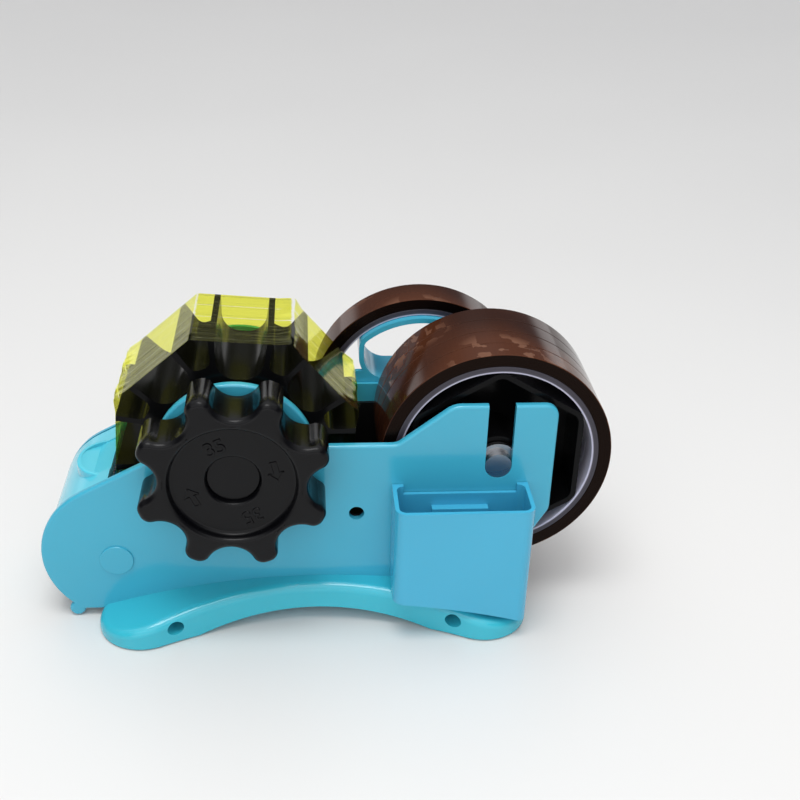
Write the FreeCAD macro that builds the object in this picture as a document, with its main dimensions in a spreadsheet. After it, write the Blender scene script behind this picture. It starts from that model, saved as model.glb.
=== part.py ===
"""Desktop cutter for heat-resistant tape, with four rolls, a spare roll and a hung pen box.

Frame: millimetres, +Z up. The origin is on the desk, midway along the length.
The nose with the cutter points to -X, the rolls are at +X, the hand knob is on the -Y side.
"""
import FreeCAD, Part
import math
import os

DOC = FreeCAD.newDocument("tape_cutter")

# ---------------------------------------------------------------- driving dimensions
SIZES = {
    # where the three axes lie
    "drum_x": -33.6,            # drum axis
    "drum_z": 72.0,
    "reel_x": 64.0,             # axis of the four rolls
    "reel_z": 65.7,
    "pivot_x": -80.2,           # hinge pin of the nose cover and the cutter
    "pivot_z": 26.3,
    # side walls
    "inside_width": 46.2,       # between the walls
    "wall": 2.4,
    "wall_base": 3.0,           # lowest edge of the walls above the desk
    "nose_x": -76.9,            # centre of the round nose
    "nose_z": 28.5,
    "nose_round": 31.3,
    "nose_slope": 27.7,         # degrees, the straight edge from the nose to the drum
    "tab_x": -97.2,             # small rounded heel under the nose
    "tab_round": 3.0,
    "ear_round": 29.5,          # round ear that carries the drum axle
    "far_nose_inset": 2.0,      # the far wall's nose is this much smaller, to stay behind the cover
    "deck_z": 75.4,             # level edge between drum and rolls
    "shoulder_z": 91.5,         # raised part that carries the reel
    "shoulder_foot_x": 25.6,
    "shoulder_top_x": 46.1,
    "shoulder_round": 9.0,
    "rear_x": 85.2,
    "rear_low_z": 45.8,
    "rear_base_x": 60.9,
    "edge_round": 1.1,
    "guide_x": 11.0,            # spare bore for a tape guide rod
    "guide_z": 45.7,
    "guide_bore": 5.8,
    # inner frame
    "frame_left_x": -63.6,
    "frame_right_x": 52.4,
    "frame_top_z": 67.5,
    "frame_wall": 1.5,
    "frame_floor": 2.0,
    "frame_floor_z": 3.4,
    "crossbar_round": 3.6,
    "crossbar_half": 40.0,      # from the middle to an upper crossbar
    "crossbar_z": 12.6,
    # side feet
    "foot_mid_x": -4.9,         # middle of the feet
    "foot_half": 65.5,          # from the middle to the centre of a lobe
    "lobe_round": 17.5,
    "lobe_out": 4.4,            # centre of a lobe outside the wall
    "foot_waist": 6.8,          # how far the waist stands out of the wall
    "foot_top_z": 17.0,         # crown of the foot's upper arch
    "foot_top_round": 281.0,
    "foot_arch_z": 6.8,         # crown of the gap under the foot
    "foot_arch_round": 162.0,
    "foot_edge_round": 3.2,
    "foot_base": 0.6,
    "foot_screw_half": 52.7,    # from the middle to a screw
    "foot_screw_z": 6.9,
    "foot_screw_bore": 5.9,
    "pad_round": 9.0,
    "pad_thick": 1.4,
    # drum
    "drum_width": 41.0,
    "cut_length": 35.0,         # the length of tape between two cuts
    "facet_count": 8.0,
    "facet_reach": 43.45,       # from the axis to a facet
    "fin_thick": 2.0,
    "fin_half": 10.5,           # from the middle of a facet to a fin
    "facet_pocket_low": 14.55,  # depth of the pocket under a facet
    "facet_pocket_round": 7.4,
    "cut_pocket_low": 8.75,     # depth of the pocket at a cut line, from the facets
    "cut_pocket_round": 3.2,
    "drum_hollow_round": 24.0,
    "drum_web": 14.0,
    "drum_turn": 4.35,          # degrees that the drum stands past a flat facet
    "film_thick": 0.3,
    "tape_width": 10.0,
    "tape_pitch": 10.25,
    "axle_round": 4.0,
    "bush_round": 6.5,
    "bush_flange_round": 8.0,
    "bush_flange": 1.0,
    # knob
    "knob_round": 35.5,
    "knob_front": 21.0,         # from the near wall to the front of the knob
    "knob_thick": 18.0,
    "knob_notch_round": 9.0,
    "knob_notch_at": 35.6,
    "knob_lobe_round": 4.0,
    "knob_edge_round": 2.4,
    "knob_dish_round": 22.6,
    "knob_dish_deep": 4.0,
    "knob_eye_round": 9.7,
    "knob_eye_deep": 3.6,
    "knob_sleeve_round": 12.2,
    "knob_skin": 3.0,
    "cap_thick": 1.4,
    # reel and rolls
    "core_round": 36.6,         # inside of a cardboard core
    "core_wall": 2.7,
    "wound_thick": 4.9,
    "hub_vertex": 37.2,
    "hub_corner_round": 6.0,
    "hub_wall": 2.0,
    "hub_web": 3.0,
    "hub_boss_round": 10.0,
    "reel_axle_round": 5.0,
    # spare roll
    "spare_x": 38.9,
    "spare_z": 66.6,
    "spare_y": 2.9,             # from the far wall to the spare roll
    "spare_width": 15.5,
    "spare_wound": 4.3,
    "hoop_round": 36.5,
    "hoop_half": 25.1,
    "hoop_low_z": 74.2,
    "hoop_wall": 2.0,
    "hoop_corner_round": 12.0,
    "hoop_crown_round": 6.0,    # where the sides meet the round top
    "hoop_reach": 21.2,
    "plate_thick": 2.0,
    "plate_half": 27.4,
    "plate_low_z": 50.0,
    "plate_top_z": 80.0,
    # pen box
    "box_left_x": 24.2,
    "box_width": 51.5,
    "box_front": 20.7,          # from the near wall to the front of the box
    "box_top_z": 58.6,
    "box_wall": 1.5,
    "box_boss": 4.6,            # depth of the boss round the rail
    "box_boss_width": 21.4,
    "box_boss_z": 50.0,
    "box_corner_round": 4.2,
    "box_back_z": 55.0,
    "box_over_foot": 2.4,
    "rail_width": 12.0,
    "rail_flare": 2.2,
    "rail_thick": 2.6,
    "rail_low_z": 24.0,
    "rail_top_z": 48.0,
    # nose cover and cutter
    "cover_inset": 1.8,
    "cover_wall": 2.0,
    "cover_width": 42.6,
    "cover_low_z": 15.0,
    "cover_top_x": -81.6,
    "ledge_reach": 14.4,        # from the end of the cover to the tip of the thumb ledge
    "ledge_half": 13.4,
    "ledge_thick": 4.8,
    "ledge_drop": 2.35,          # the ledge's face below the end of the cover
    "ledge_rim": 1.6,
    "dish_round": 16.0,
    "dish_out": 6.2,
    "dish_deep": 1.5,
    "blade_cover": 1.0,         # plastic between the dish and the blade
    "cheek": 2.2,
    "boss_round": 8.0,
    "pin_round": 3.0,
    "pin_cap_round": 6.4,
    "pin_cap": 0.8,
    "press_angle": 5.0,         # degrees that the cutter swings
    "cut_depth_round": 2.35,    # the teeth out from the facets when the cutter is pressed
    "blade_tall": 9.0,
    "blade_thick": 0.4,
    "blade_half": 18.6,
    "tooth_pitch": 1.86,
    "tooth_tall": 1.4,
    "clamp_out": 3.6,           # from the teeth to the clamp
    "clamp_tall": 7.0,
    "clamp_screw_round": 1.0,
    "clamp_screw_half": 13.0,
    "bar_thick": 3.0,
    "spring_wire": 0.5,
    "spring_round": 4.3,
    "spring_pitch": 1.4,
    "spring_length": 12.6,
    # screws
    "screw_round": 1.5,
    "screw_head_round": 2.7,
    "screw_head": 2.2,
    # clearances
    "run": 0.05,                # a shaft in its bore, on the radius
    "slide": 0.25,              # a part that slides or swings beside another
    "seat": 0.02,               # a part set into its seat, on the radius
}

SHEET = DOC.addObject("Spreadsheet::Sheet", "dims")
for row, (alias, number) in enumerate(SIZES.items(), start=1):
    SHEET.set("A%d" % row, alias)
    SHEET.set("B%d" % row, str(number))
    SHEET.setAlias("B%d" % row, alias)
DOC.recompute()

NODES = []


# ---------------------------------------------------------------- small tools
def q(text):
    """Write every size name in an expression with its sheet."""
    words = sorted(SIZES, key=len, reverse=True)
    out = ""
    place = 0
    while place < len(text):
        for word in words:
            end = place + len(word)
            before = text[place - 1] if place else " "
            after = text[end] if end < len(text) else " "
            whole = not (before.isalnum() or before in "_.") and not (after.isalnum() or after == "_")
            if text.startswith(word, place) and whole:
                out += "dims." + word
                place = end
                break
        else:
            out += text[place]
            place += 1
    return out


def num(text):
    """The number that an expression on the sheet gives now."""
    value = SHEET.evalExpression(q(text)) if isinstance(text, str) else text
    return float(getattr(value, "Value", value))


def bind(thing, path, text):
    thing.setExpression(path, q(text) if isinstance(text, str) else str(text))


def place(thing, x="0", y="0", z="0", turn=None):
    """Put a thing at x, y, z; turn is (axis, degrees)."""
    if turn:
        thing.Placement.Rotation = FreeCAD.Rotation(FreeCAD.Vector(*turn[0]), num(turn[1]))
        bind(thing, "Placement.Rotation.Angle", turn[1])
    bind(thing, "Placement.Base.x", x)
    bind(thing, "Placement.Base.y", y)
    bind(thing, "Placement.Base.z", z)
    return thing


def block(name, length, width, height, x, y, z, turn=None):
    thing = DOC.addObject("Part::Box", name)
    bind(thing, "Length", length)
    bind(thing, "Width", width)
    bind(thing, "Height", height)
    return place(thing, x, y, z, turn)


def rod(name, radius, length, x, y, z, sector=None):
    """A cylinder that runs from y towards +Y."""
    thing = DOC.addObject("Part::Cylinder", name)
    bind(thing, "Radius", radius)
    bind(thing, "Height", length)
    if sector:
        bind(thing, "Angle", sector)
    return place(thing, x, y, z, ((1, 0, 0), "-90"))


def post(name, radius, height, x, y, z):
    """A cylinder that stands up from z."""
    thing = DOC.addObject("Part::Cylinder", name)
    bind(thing, "Radius", radius)
    bind(thing, "Height", height)
    return place(thing, x, y, z)


def join(name, *things):
    thing = DOC.addObject("Part::MultiFuse", name)
    thing.Shapes = list(things)
    thing.Refine = True
    return thing


def cut(name, base, *tools):
    tool = tools[0] if len(tools) == 1 else join(name + "_tools", *tools)
    thing = DOC.addObject("Part::Cut", name)
    thing.Base = base
    thing.Tool = tool
    thing.Refine = True
    return thing


def common(name, *things):
    thing = DOC.addObject("Part::MultiCommon", name)
    thing.Shapes = list(things)
    return thing


def group(name, things):
    thing = DOC.addObject("Part::Compound", name)
    thing.Links = list(things)
    return thing


def soften(name, base, radius, wanted):
    """Round the edges of base that wanted(edge) picks."""
    DOC.recompute()
    size = num(radius)
    picks = [(i, size, size) for i, edge in enumerate(base.Shape.Edges, start=1) if wanted(edge)]
    thing = DOC.addObject("Part::Fillet", name)
    thing.Base = base
    thing.Edges = picks
    return thing


def node(thing, label):
    thing.Label = label
    NODES.append(thing)
    return thing


def origin_plane(body, role):
    return next(feature for feature in body.Origin.OriginFeatures if feature.Role == role)


def sketch_on(body, name, role="XZ_Plane"):
    sketch = body.newObject("Sketcher::SketchObject", name)
    sketch.AttachmentSupport = [(origin_plane(body, role), "")]
    sketch.MapMode = "FlatFace"
    return sketch


def hold(sketch, kind, *where):
    """Add a constraint; a text at its end is its value."""
    import Sketcher
    if where and isinstance(where[-1], str):
        index = sketch.addConstraint(Sketcher.Constraint(kind, *where[:-1], num(where[-1])))
        sketch.setExpression("Constraints[%d]" % index, q(where[-1]))
        return index
    return sketch.addConstraint(Sketcher.Constraint(kind, *where))


def pin_point(sketch, geometry, vertex, x, y):
    """Tie a point of the sketch to x and y, measured from the origin."""
    for kind, text in (("DistanceX", x), ("DistanceY", y)):
        if abs(num(text)) < 1e-9:
            axis = -2 if kind == "DistanceX" else -1
            hold(sketch, "PointOnObject", geometry, vertex, axis)
        else:
            hold(sketch, kind, -1, 1, geometry, vertex, text)


def rounded_outline(sketch, corners):
    """A closed outline; each corner is (x, y, radius), and the radius may be None."""
    points = [FreeCAD.Vector(num(x), num(y), 0) for x, y, radius in corners]
    count = len(points)
    starts = []
    ends = []
    for i, point in enumerate(points):
        radius = corners[i][2]
        size = num(radius) if radius else 0.0
        back = (points[i - 1] - point).normalize()
        ahead = (points[(i + 1) % count] - point).normalize()
        half = math.acos(max(-1.0, min(1.0, back.dot(ahead)))) / 2
        reach = size / math.tan(half)
        starts.append(point + back * reach)
        ends.append(point + ahead * reach)
    lines = []
    for i in range(count):
        lines.append(sketch.addGeometry(Part.LineSegment(ends[i], starts[(i + 1) % count])))
    for i in range(count):
        before = lines[i - 1]
        after = lines[i]
        if not corners[i][2]:
            hold(sketch, "Coincident", before, 2, after, 1)
            pin_point(sketch, after, 1, corners[i][0], corners[i][1])
            continue
        middle = (starts[i] + ends[i]) * 0.5
        to_centre = (middle - points[i]).normalize()
        size = num(corners[i][2])
        half_chord = (ends[i] - starts[i]).Length / 2
        centre = middle + to_centre * math.sqrt(max(size ** 2 - half_chord ** 2, 0.0))
        # a sketch's arcs run anticlockwise, so a right-hand corner starts at its far end
        left_turn = (points[i] - points[i - 1]).cross(points[(i + 1) % count] - points[i]).z > 0
        first = 1 if left_turn else 2
        tips = [starts[i] - centre, ends[i] - centre]
        angles = [math.atan2(tip.y, tip.x) for tip in (tips if left_turn else reversed(tips))]
        circle = Part.Circle(centre, FreeCAD.Vector(0, 0, 1), size)
        arc = sketch.addGeometry(Part.ArcOfCircle(circle, *angles))
        hold(sketch, "Tangent", before, 2, arc, first)
        hold(sketch, "Tangent", after, 1, arc, 3 - first)
        hold(sketch, "Radius", arc, corners[i][2])
        corner = sketch.addGeometry(Part.Point(points[i]), True)
        pin_point(sketch, corner, 1, corners[i][0], corners[i][1])
        hold(sketch, "PointOnObject", corner, 1, before)
        hold(sketch, "PointOnObject", corner, 1, after)


def pad(body, name, sketch, length):
    """Thicken a sketch towards +Y for an XZ sketch and +Z for an XY sketch."""
    thing = body.newObject("PartDesign::Pad", name)
    thing.Profile = sketch
    bind(thing, "Length", length)
    thing.Reversed = sketch.AttachmentSupport[0][0].Role == "XZ_Plane"
    body.Tip = thing
    return thing


def pocket(body, name, sketch, length=None):
    """Cut a sketch into the body on the side that pad() fills, and check that it did."""
    DOC.recompute()
    before = body.Shape.Volume
    thing = body.newObject("PartDesign::Pocket", name)
    thing.Profile = sketch
    thing.Reversed = sketch.AttachmentSupport[0][0].Role == "XY_Plane"
    if length:
        bind(thing, "Length", length)
    else:
        thing.Type = "ThroughAll"
    body.Tip = thing
    DOC.recompute()
    if body.Shape.Volume > before - 1e-3:
        raise RuntimeError(name + " cuts nothing")
    return thing


def polar(body, name, feature, count, role="Y_Axis"):
    thing = body.newObject("PartDesign::PolarPattern", name)
    thing.Originals = [feature]
    thing.Axis = (origin_plane(body, role), [""])
    thing.Angle = 360
    thing.Occurrences = int(num(count))
    body.Tip = thing
    return thing


def slab(name, corners, thickness, y, x="0", z="0"):
    """A body whose XZ outline is thickened from y towards +Y."""
    body = DOC.addObject("PartDesign::Body", name)
    sketch = sketch_on(body, name + "_outline")
    rounded_outline(sketch, corners)
    pad(body, name + "_pad", sketch, thickness)
    place(body, x, y, z)
    DOC.recompute()
    return body


def flat_edge_at(axis, level):
    """Picks edges that lie wholly in the plane axis = level."""
    def wanted(edge):
        box = edge.BoundBox
        low = getattr(box, axis + "Min")
        high = getattr(box, axis + "Max")
        return abs(low - level) < 1e-4 and abs(high - level) < 1e-4
    return wanted


# ---------------------------------------------------------------- lines that several pieces share
WALL_IN = "(inside_width/2)"
WALL_OUT = "(inside_width/2 + wall)"
FRAME_IN = "(inside_width/2 - frame_wall)"
LOBE_Y = "(inside_width/2 + wall + lobe_out)"
WAIST_DROP = "(foot_waist - lobe_out)"
WAIST_ROUND = ("((foot_half^2 + " + WAIST_DROP + "^2 - lobe_round^2)"
               " / (2*(lobe_round - " + WAIST_DROP + ")))")
FOOT_SCREW_SEAT = "(inside_width/2 + wall + 6)"
KNOB_FRONT = "(inside_width/2 + wall + knob_front)"
KNOB_EYE = "(" + KNOB_FRONT + " - knob_dish_deep - knob_eye_deep)"
AXLE_NEAR = "(" + KNOB_EYE + " - screw_head - 2.2)"
CORE_OUT = "(core_round + core_wall)"
WOUND_ROUND = "(core_round + core_wall + wound_thick)"
BOX_Y = "(inside_width/2 + wall + slide)"
BOX_FRONT = "(inside_width/2 + wall + box_front)"
SPARE_Y = "(inside_width/2 + wall + spare_y)"
BOX_MID_X = "(box_left_x + box_width/2)"
PRESSED_X = "(drum_x - (facet_reach + cut_depth_round)*cos(180/facet_count - drum_turn))"
PRESSED_Z = "(drum_z - (facet_reach + cut_depth_round)*sin(180/facet_count - drum_turn))"
TEETH_X = ("(pivot_x + (" + PRESSED_X + " - pivot_x)*cos(press_angle)"
           " - (" + PRESSED_Z + " - pivot_z)*sin(press_angle))")
TEETH_Z = ("(pivot_z + (" + PRESSED_X + " - pivot_x)*sin(press_angle)"
           " + (" + PRESSED_Z + " - pivot_z)*cos(press_angle))")
BLADE_TURN = "(180 - 180/facet_count + drum_turn - press_angle)"


def slope_z(x, inset):
    """Height of the straight nose edge at x, set in by inset."""
    return "(nose_z + (nose_round - (%s))/cos(nose_slope) + ((%s) - nose_x)*tan(nose_slope))" % (inset, x)


def ring(name, outer, inner, length, x, y, z):
    return cut(name, rod(name + "_outer", outer, length, x, y, z),
               rod(name + "_inner", inner, length + " + 2", x, y + " - 1", z))


def mirrored(name, source):
    """The same piece on the other side of the middle plane."""
    thing = DOC.addObject("Part::Mirroring", name)
    thing.Source = source
    thing.Base = (0, 0, 0)
    thing.Normal = (0, 1, 0)
    return thing


def screw(name, x, z, seat_y, length, away=False):
    """A cross-head screw along Y whose head bears at seat_y; it points to +Y, or to -Y if away."""
    head_y = seat_y if away else seat_y + " - screw_head"
    shank_y = "%s - %s" % (seat_y, length) if away else seat_y
    slot_y = seat_y + " + screw_head - 0.9" if away else seat_y + " - screw_head - 0.1"
    head = rod(name + "_head", "screw_head_round", "screw_head", x, head_y, z)
    shank = rod(name + "_shank", "screw_round", length, x, shank_y, z)
    wide = block(name + "_cross_a", "3.2", "1", "0.7", x + " - 1.6", slot_y, z + " - 0.35")
    tall = block(name + "_cross_b", "0.7", "1", "3.2", x + " - 0.35", slot_y, z + " - 1.6")
    return cut(name, join(name + "_solid", head, shank), wide, tall)


def dovetail(name, grow, low, top):
    """The rail on the near wall, or its groove when grow is a clearance."""
    body = DOC.addObject("PartDesign::Body", name)
    sketch = sketch_on(body, name + "_outline", "XY_Plane")
    narrow = "rail_width/2 + 1.4*(%s)" % grow
    wide = "rail_width/2 + rail_flare + 1.4*(%s)" % grow
    out = "rail_thick + %s" % grow
    rounded_outline(sketch, [(narrow, "0.5", None), ("-(%s)" % narrow, "0.5", None),
                             ("-(%s)" % wide, "-(%s)" % out, None), (wide, "-(%s)" % out, None)])
    pad(body, name + "_pad", sketch, "%s - (%s)" % (top, low))
    place(body, BOX_MID_X, "-" + WALL_OUT, low)
    DOC.recompute()
    return body


# ---------------------------------------------------------------- casing
def wall_blank(name, inset="0"):
    """Near wall without its rail: nose, drum ear, shoulder and heel, with a rounded outer rim."""
    y = "-" + WALL_OUT
    nose_now = "(nose_round - %s)" % inset
    tangent_x = "nose_x - %s*sin(nose_slope)" % nose_now
    tangent_z = "nose_z + %s*cos(nose_slope)" % nose_now
    plate = slab(name + "_plate", [
        (tangent_x, tangent_z, None),
        ("drum_x", slope_z("drum_x", inset), None),
        ("drum_x + ear_round/2", "deck_z", None),
        ("shoulder_foot_x", "deck_z", "4"),
        ("shoulder_top_x", "shoulder_z", "shoulder_round"),
        ("rear_x", "shoulder_z", "5"),
        ("rear_x", "rear_low_z", "6"),
        ("rear_base_x", "wall_base", None),
        ("nose_x", "wall_base", None)], "wall", y)
    nose = common(name + "_nose",
                  rod(name + "_nose_disc", nose_now, "wall", "nose_x", y, "nose_z"),
                  block(name + "_nose_keep", "2*nose_round", "wall", "2*nose_round",
                        "nose_x - nose_round", y, "wall_base"))
    ear = rod(name + "_ear", "ear_round", "wall", "drum_x", y, "drum_z")
    heel = rod(name + "_heel", "tab_round", "wall", "tab_x + 1.8*%s" % inset, y, "tab_round + 0.2")
    blank = join(name + "_blank", plate, nose, ear, heel)
    DOC.recompute()
    return soften(name + "_rim", blank, "edge_round", flat_edge_at("Y", -num(WALL_OUT)))


def wall_cuts(name):
    """Everything that both walls are pierced by, measured on the near side."""
    y = "-" + WALL_OUT + " - 1"
    deep = "wall + 2"
    cuts = [
        rod(name + "_bush_bore", "bush_round + seat", deep, "drum_x", y, "drum_z"),
        rod(name + "_reel_bore", "reel_axle_round + run", deep, "reel_x", y, "reel_z"),
        block(name + "_reel_slot", "2*(reel_axle_round + run)", deep, "60",
              "reel_x - reel_axle_round - run", y, "reel_z"),
        rod(name + "_guide_bore", "guide_bore/2", deep, "guide_x", y, "guide_z"),
        rod(name + "_pin_bore", "pin_round + seat", deep, "pivot_x", y, "pivot_z"),
    ]
    for i, sign in enumerate(("-", "+")):
        x = "foot_mid_x %s foot_screw_half" % sign
        cuts.append(rod(name + "_foot_bore%d" % i, "screw_round + 0.1", deep, x, y, "foot_screw_z"))
    return cuts


def near_side_wall():
    blank = wall_blank("near_wall")
    railed = join("near_wall_railed", blank, dovetail("near_wall_rail", "0", "rail_low_z", "rail_top_z"))
    return node(cut("near_wall_cut", railed, *wall_cuts("near_wall")), "near_side_wall")


def far_side_wall():
    pierced = cut("far_wall_pierced", wall_blank("far_wall", "far_nose_inset"), *wall_cuts("far_wall"))
    wall = mirrored("far_wall_mirrored", pierced)
    y = WALL_IN + " - 1"
    bores = [rod("far_wall_holder_bore%d" % i, "screw_round + seat", "wall + 2", "spare_x %s 9" % sign, y, "57")
             for i, sign in enumerate("-+")]
    return node(cut("far_wall_cut", wall, *bores), "far_side_wall")


def inner_frame():
    """Black channel between the walls: two cheeks, a floor and four crossbars."""
    corners = [
        ("frame_left_x", "frame_floor_z", "4"),
        ("frame_right_x", "frame_floor_z", "4"),
        ("frame_right_x", "frame_top_z", "3"),
        ("frame_left_x", "frame_top_z", "3")]
    near = slab("frame_near", corners, "frame_wall", "-" + WALL_IN)
    far = slab("frame_far", corners, "frame_wall", FRAME_IN)
    long = "frame_right_x - frame_left_x - 10"
    parts = [near, far, block("frame_floor_plate", long, "2*" + FRAME_IN + " + frame_wall", "frame_floor",
                              "frame_left_x + 5", "-" + FRAME_IN + " - frame_wall/2", "frame_floor_z")]
    bores = []
    for i, sign in enumerate("-+"):
        low_x = "foot_mid_x %s foot_screw_half" % sign
        high_x = "foot_mid_x %s crossbar_half" % sign
        y = "-" + FRAME_IN + " - frame_wall/2"
        span = "2*" + FRAME_IN + " + frame_wall"
        parts.append(rod("frame_bar_low%d" % i, "crossbar_round", span, low_x, y, "foot_screw_z + 0.1"))
        parts.append(rod("frame_bar_high%d" % i, "crossbar_round", span, high_x, y, "crossbar_z"))
        bores.append(rod("frame_bore_near%d" % i, "screw_round + seat", "10", low_x,
                         "-" + WALL_IN + " - 1", "foot_screw_z"))
        bores.append(rod("frame_bore_far%d" % i, "screw_round + seat", "10", low_x,
                         WALL_IN + " - 9", "foot_screw_z"))
        bores.append(rod("frame_holder_bore%d" % i, "screw_round + seat", "6", "spare_x %s 9" % sign,
                         WALL_IN + " - 5", "57"))
    across = "inside_width + 2"
    y = "-" + WALL_IN + " - 1"
    bores.append(rod("frame_guide_bore", "guide_bore/2", across, "guide_x", y, "guide_z"))
    bores.append(rod("frame_axle_notch", "bush_flange_round + 1.5", across, "drum_x", y, "drum_z"))
    return node(cut("frame_cut", join("frame_solid", *parts), *bores), "inner_frame")


def foot_blank(name):
    """Near foot: two lobes with a tangent waist, between a lower and an upper arch."""
    tall = "foot_top_z + 1"
    reach = "(lobe_round/(%s + lobe_round))" % WAIST_ROUND
    lobes = [post(name + "_lobe%d" % i, "lobe_round", tall, "foot_mid_x %s foot_half" % sign, "-" + LOBE_Y, "foot_base")
             for i, sign in enumerate("-+")]
    depth = "(lobe_out + (%s + %s)*%s)" % (WAIST_DROP, WAIST_ROUND, reach)
    bridge = block(name + "_bridge", "2*foot_half*(1 - %s)" % reach, depth, tall,
                   "foot_mid_x - foot_half*(1 - %s)" % reach, "-%s - %s" % (WALL_OUT, depth), "foot_base")
    waist = post(name + "_waist", WAIST_ROUND, "foot_top_z + 4", "foot_mid_x",
                 "-(%s + foot_waist) - %s" % (WALL_OUT, WAIST_ROUND), "foot_base - 1")
    inside = block(name + "_inside", "2*foot_half + 60", "40", "foot_top_z + 4",
                   "foot_mid_x - foot_half - 30", "-" + WALL_OUT, "foot_base - 1")
    plan = cut(name + "_plan", join(name + "_mass", *lobes, bridge), waist, inside)
    crown = rod(name + "_crown", "foot_top_round", "60", "foot_mid_x", "-70", "foot_top_z - foot_top_round")
    arched = common(name + "_arched", plan, crown)
    hollow = rod(name + "_arch", "foot_arch_round", "60", "foot_mid_x", "-70", "foot_arch_z - foot_arch_round")
    shape = cut(name + "_shape", arched, hollow)
    DOC.recompute()

    def upper_rim(edge):
        low, high = edge.ParameterRange
        for share in (0.25, 0.75):
            point = edge.valueAt(low + (high - low) * share)
            reach_now = math.hypot(point.x - num("foot_mid_x"), point.z - num("foot_top_z - foot_top_round"))
            if abs(reach_now - num("foot_top_round")) > 1e-3 or point.y > -num(WALL_OUT) - 0.05:
                return False
        return True
    return soften(name + "_soft", shape, "foot_edge_round", upper_rim)


def foot(name):
    blank = foot_blank(name)
    cuts = []
    for i, sign in enumerate("-+"):
        x = "foot_mid_x %s foot_screw_half" % sign
        cuts.append(rod(name + "_recess%d" % i, "foot_screw_bore/2", "30", x,
                        "-" + FOOT_SCREW_SEAT + " - 30", "foot_screw_z"))
        cuts.append(rod(name + "_bore%d" % i, "screw_round + 0.1", "20", x,
                        "-" + FOOT_SCREW_SEAT + " - 1", "foot_screw_z"))
        cuts.append(post(name + "_pad_seat%d" % i, "pad_round + 0.1", "pad_thick", "foot_mid_x %s foot_half" % sign,
                         "-(%s + 1.5)" % LOBE_Y, "0"))
    return cut(name + "_cut", blank, *cuts)


def feet():
    node(foot("near_foot_part"), "near_foot")
    node(mirrored("far_foot_part", foot("far_foot_near_copy")), "far_foot")
    pads = []
    for i, side in enumerate("-+"):
        for k, sign in enumerate("-+"):
            pads.append(post("pad%d%d" % (i, k), "pad_round", "pad_thick", "foot_mid_x %s foot_half" % sign,
                             "%s(%s + 1.5)" % (side, LOBE_Y), "0"))
    node(group("pads", pads), "foot_pads")
    screws = []
    for i, sign in enumerate("-+"):
        x = "foot_mid_x %s foot_screw_half" % sign
        near = screw("foot_screw_near%d" % i, x, "foot_screw_z", "-" + FOOT_SCREW_SEAT, "15")
        screws += [near, mirrored("foot_screw_far%d" % i, near)]
    node(group("foot_screw_set", screws), "foot_screws")


# ---------------------------------------------------------------- drum
def cutting_drum():
    """Octagonal drum: sixteen fins carry the film, and the cut lines fall over its narrow pockets."""
    body = DOC.addObject("PartDesign::Body", "drum_body")
    outline = sketch_on(body, "drum_outline")
    corners = []
    for k in range(int(num("facet_count"))):
        turn = "(%g*360/facet_count + 180/facet_count)" % k
        corners.append(("facet_reach/cos(180/facet_count)*cos(%s)" % turn,
                        "facet_reach/cos(180/facet_count)*sin(%s)" % turn, None))
    rounded_outline(outline, corners)
    pad(body, "drum_mass", outline, "drum_width")

    wide = sketch_on(body, "facet_pocket_outline")
    rim = "facet_reach + 4"
    half = "(fin_half - fin_thick/2)"
    floor = "(facet_reach - facet_pocket_low)"
    rounded_outline(wide, [("-" + half, rim, None), (half + "*0.86*-1", floor, "facet_pocket_round"),
                           (half + "*0.86", floor, "facet_pocket_round"), (half, rim, None)])
    pocket(body, "facet_pocket", wide)
    polar(body, "facet_pockets", body.Tip, "facet_count")

    narrow = sketch_on(body, "cut_pocket_outline")
    # both sides of the narrow pocket stay one fin away from the wide pockets
    turn = "180/facet_count"
    lip = "(facet_reach*sin(%s) - (fin_half + fin_thick/2)*cos(%s))" % (turn, turn)
    lip_up = "(facet_reach*cos(%s) + (fin_half + fin_thick/2)*sin(%s))" % (turn, turn)
    rim = "facet_reach/cos(180/facet_count) + 1"
    low = "(cut_pocket_round + 0.15)"
    floor = "(facet_reach - cut_pocket_low)"
    out = "(%s + (%s - %s)*(%s - %s)/(%s - %s))" % (lip, lip, low, rim, lip_up, lip_up, floor)
    rounded_outline(narrow, [("-" + out, rim, None), ("-" + low, floor, "cut_pocket_round"),
                             (low, floor, "cut_pocket_round"), (out, rim, None)])
    narrow.AttachmentOffset = FreeCAD.Placement(FreeCAD.Vector(), FreeCAD.Rotation(FreeCAD.Vector(0, 0, 1), 0))
    bind(narrow, "AttachmentOffset.Rotation.Angle", "180/facet_count")
    pocket(body, "cut_pocket", narrow)
    polar(body, "cut_pockets", body.Tip, "facet_count")

    for side, offset in (("near", "0"), ("far", "drum_width/2 + drum_web/2")):
        hollow = sketch_on(body, "hollow_%s_outline" % side)
        for radius in ("drum_hollow_round", "axle_round + 4"):
            circle = hollow.addGeometry(Part.Circle(FreeCAD.Vector(), FreeCAD.Vector(0, 0, 1), num(radius)))
            hold(hollow, "Coincident", circle, 3, -1, 1)
            hold(hollow, "Radius", circle, radius)
        bind(hollow, "AttachmentOffset.Base.z", "-(%s)" % offset)
        pocket(body, "hollow_%s" % side, hollow, "drum_width/2 - drum_web/2")

    bore = sketch_on(body, "drum_bore_outline")
    circle = bore.addGeometry(Part.Circle(FreeCAD.Vector(), FreeCAD.Vector(0, 0, 1), num("axle_round + seat")))
    hold(bore, "Coincident", circle, 3, -1, 1)
    hold(bore, "Radius", circle, "axle_round + seat")
    pocket(body, "drum_bore", bore)
    place(body, "drum_x", "-drum_width/2", "drum_z", ((0, 1, 0), "drum_turn"))
    DOC.recompute()
    node(body, "cutting_drum")


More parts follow.
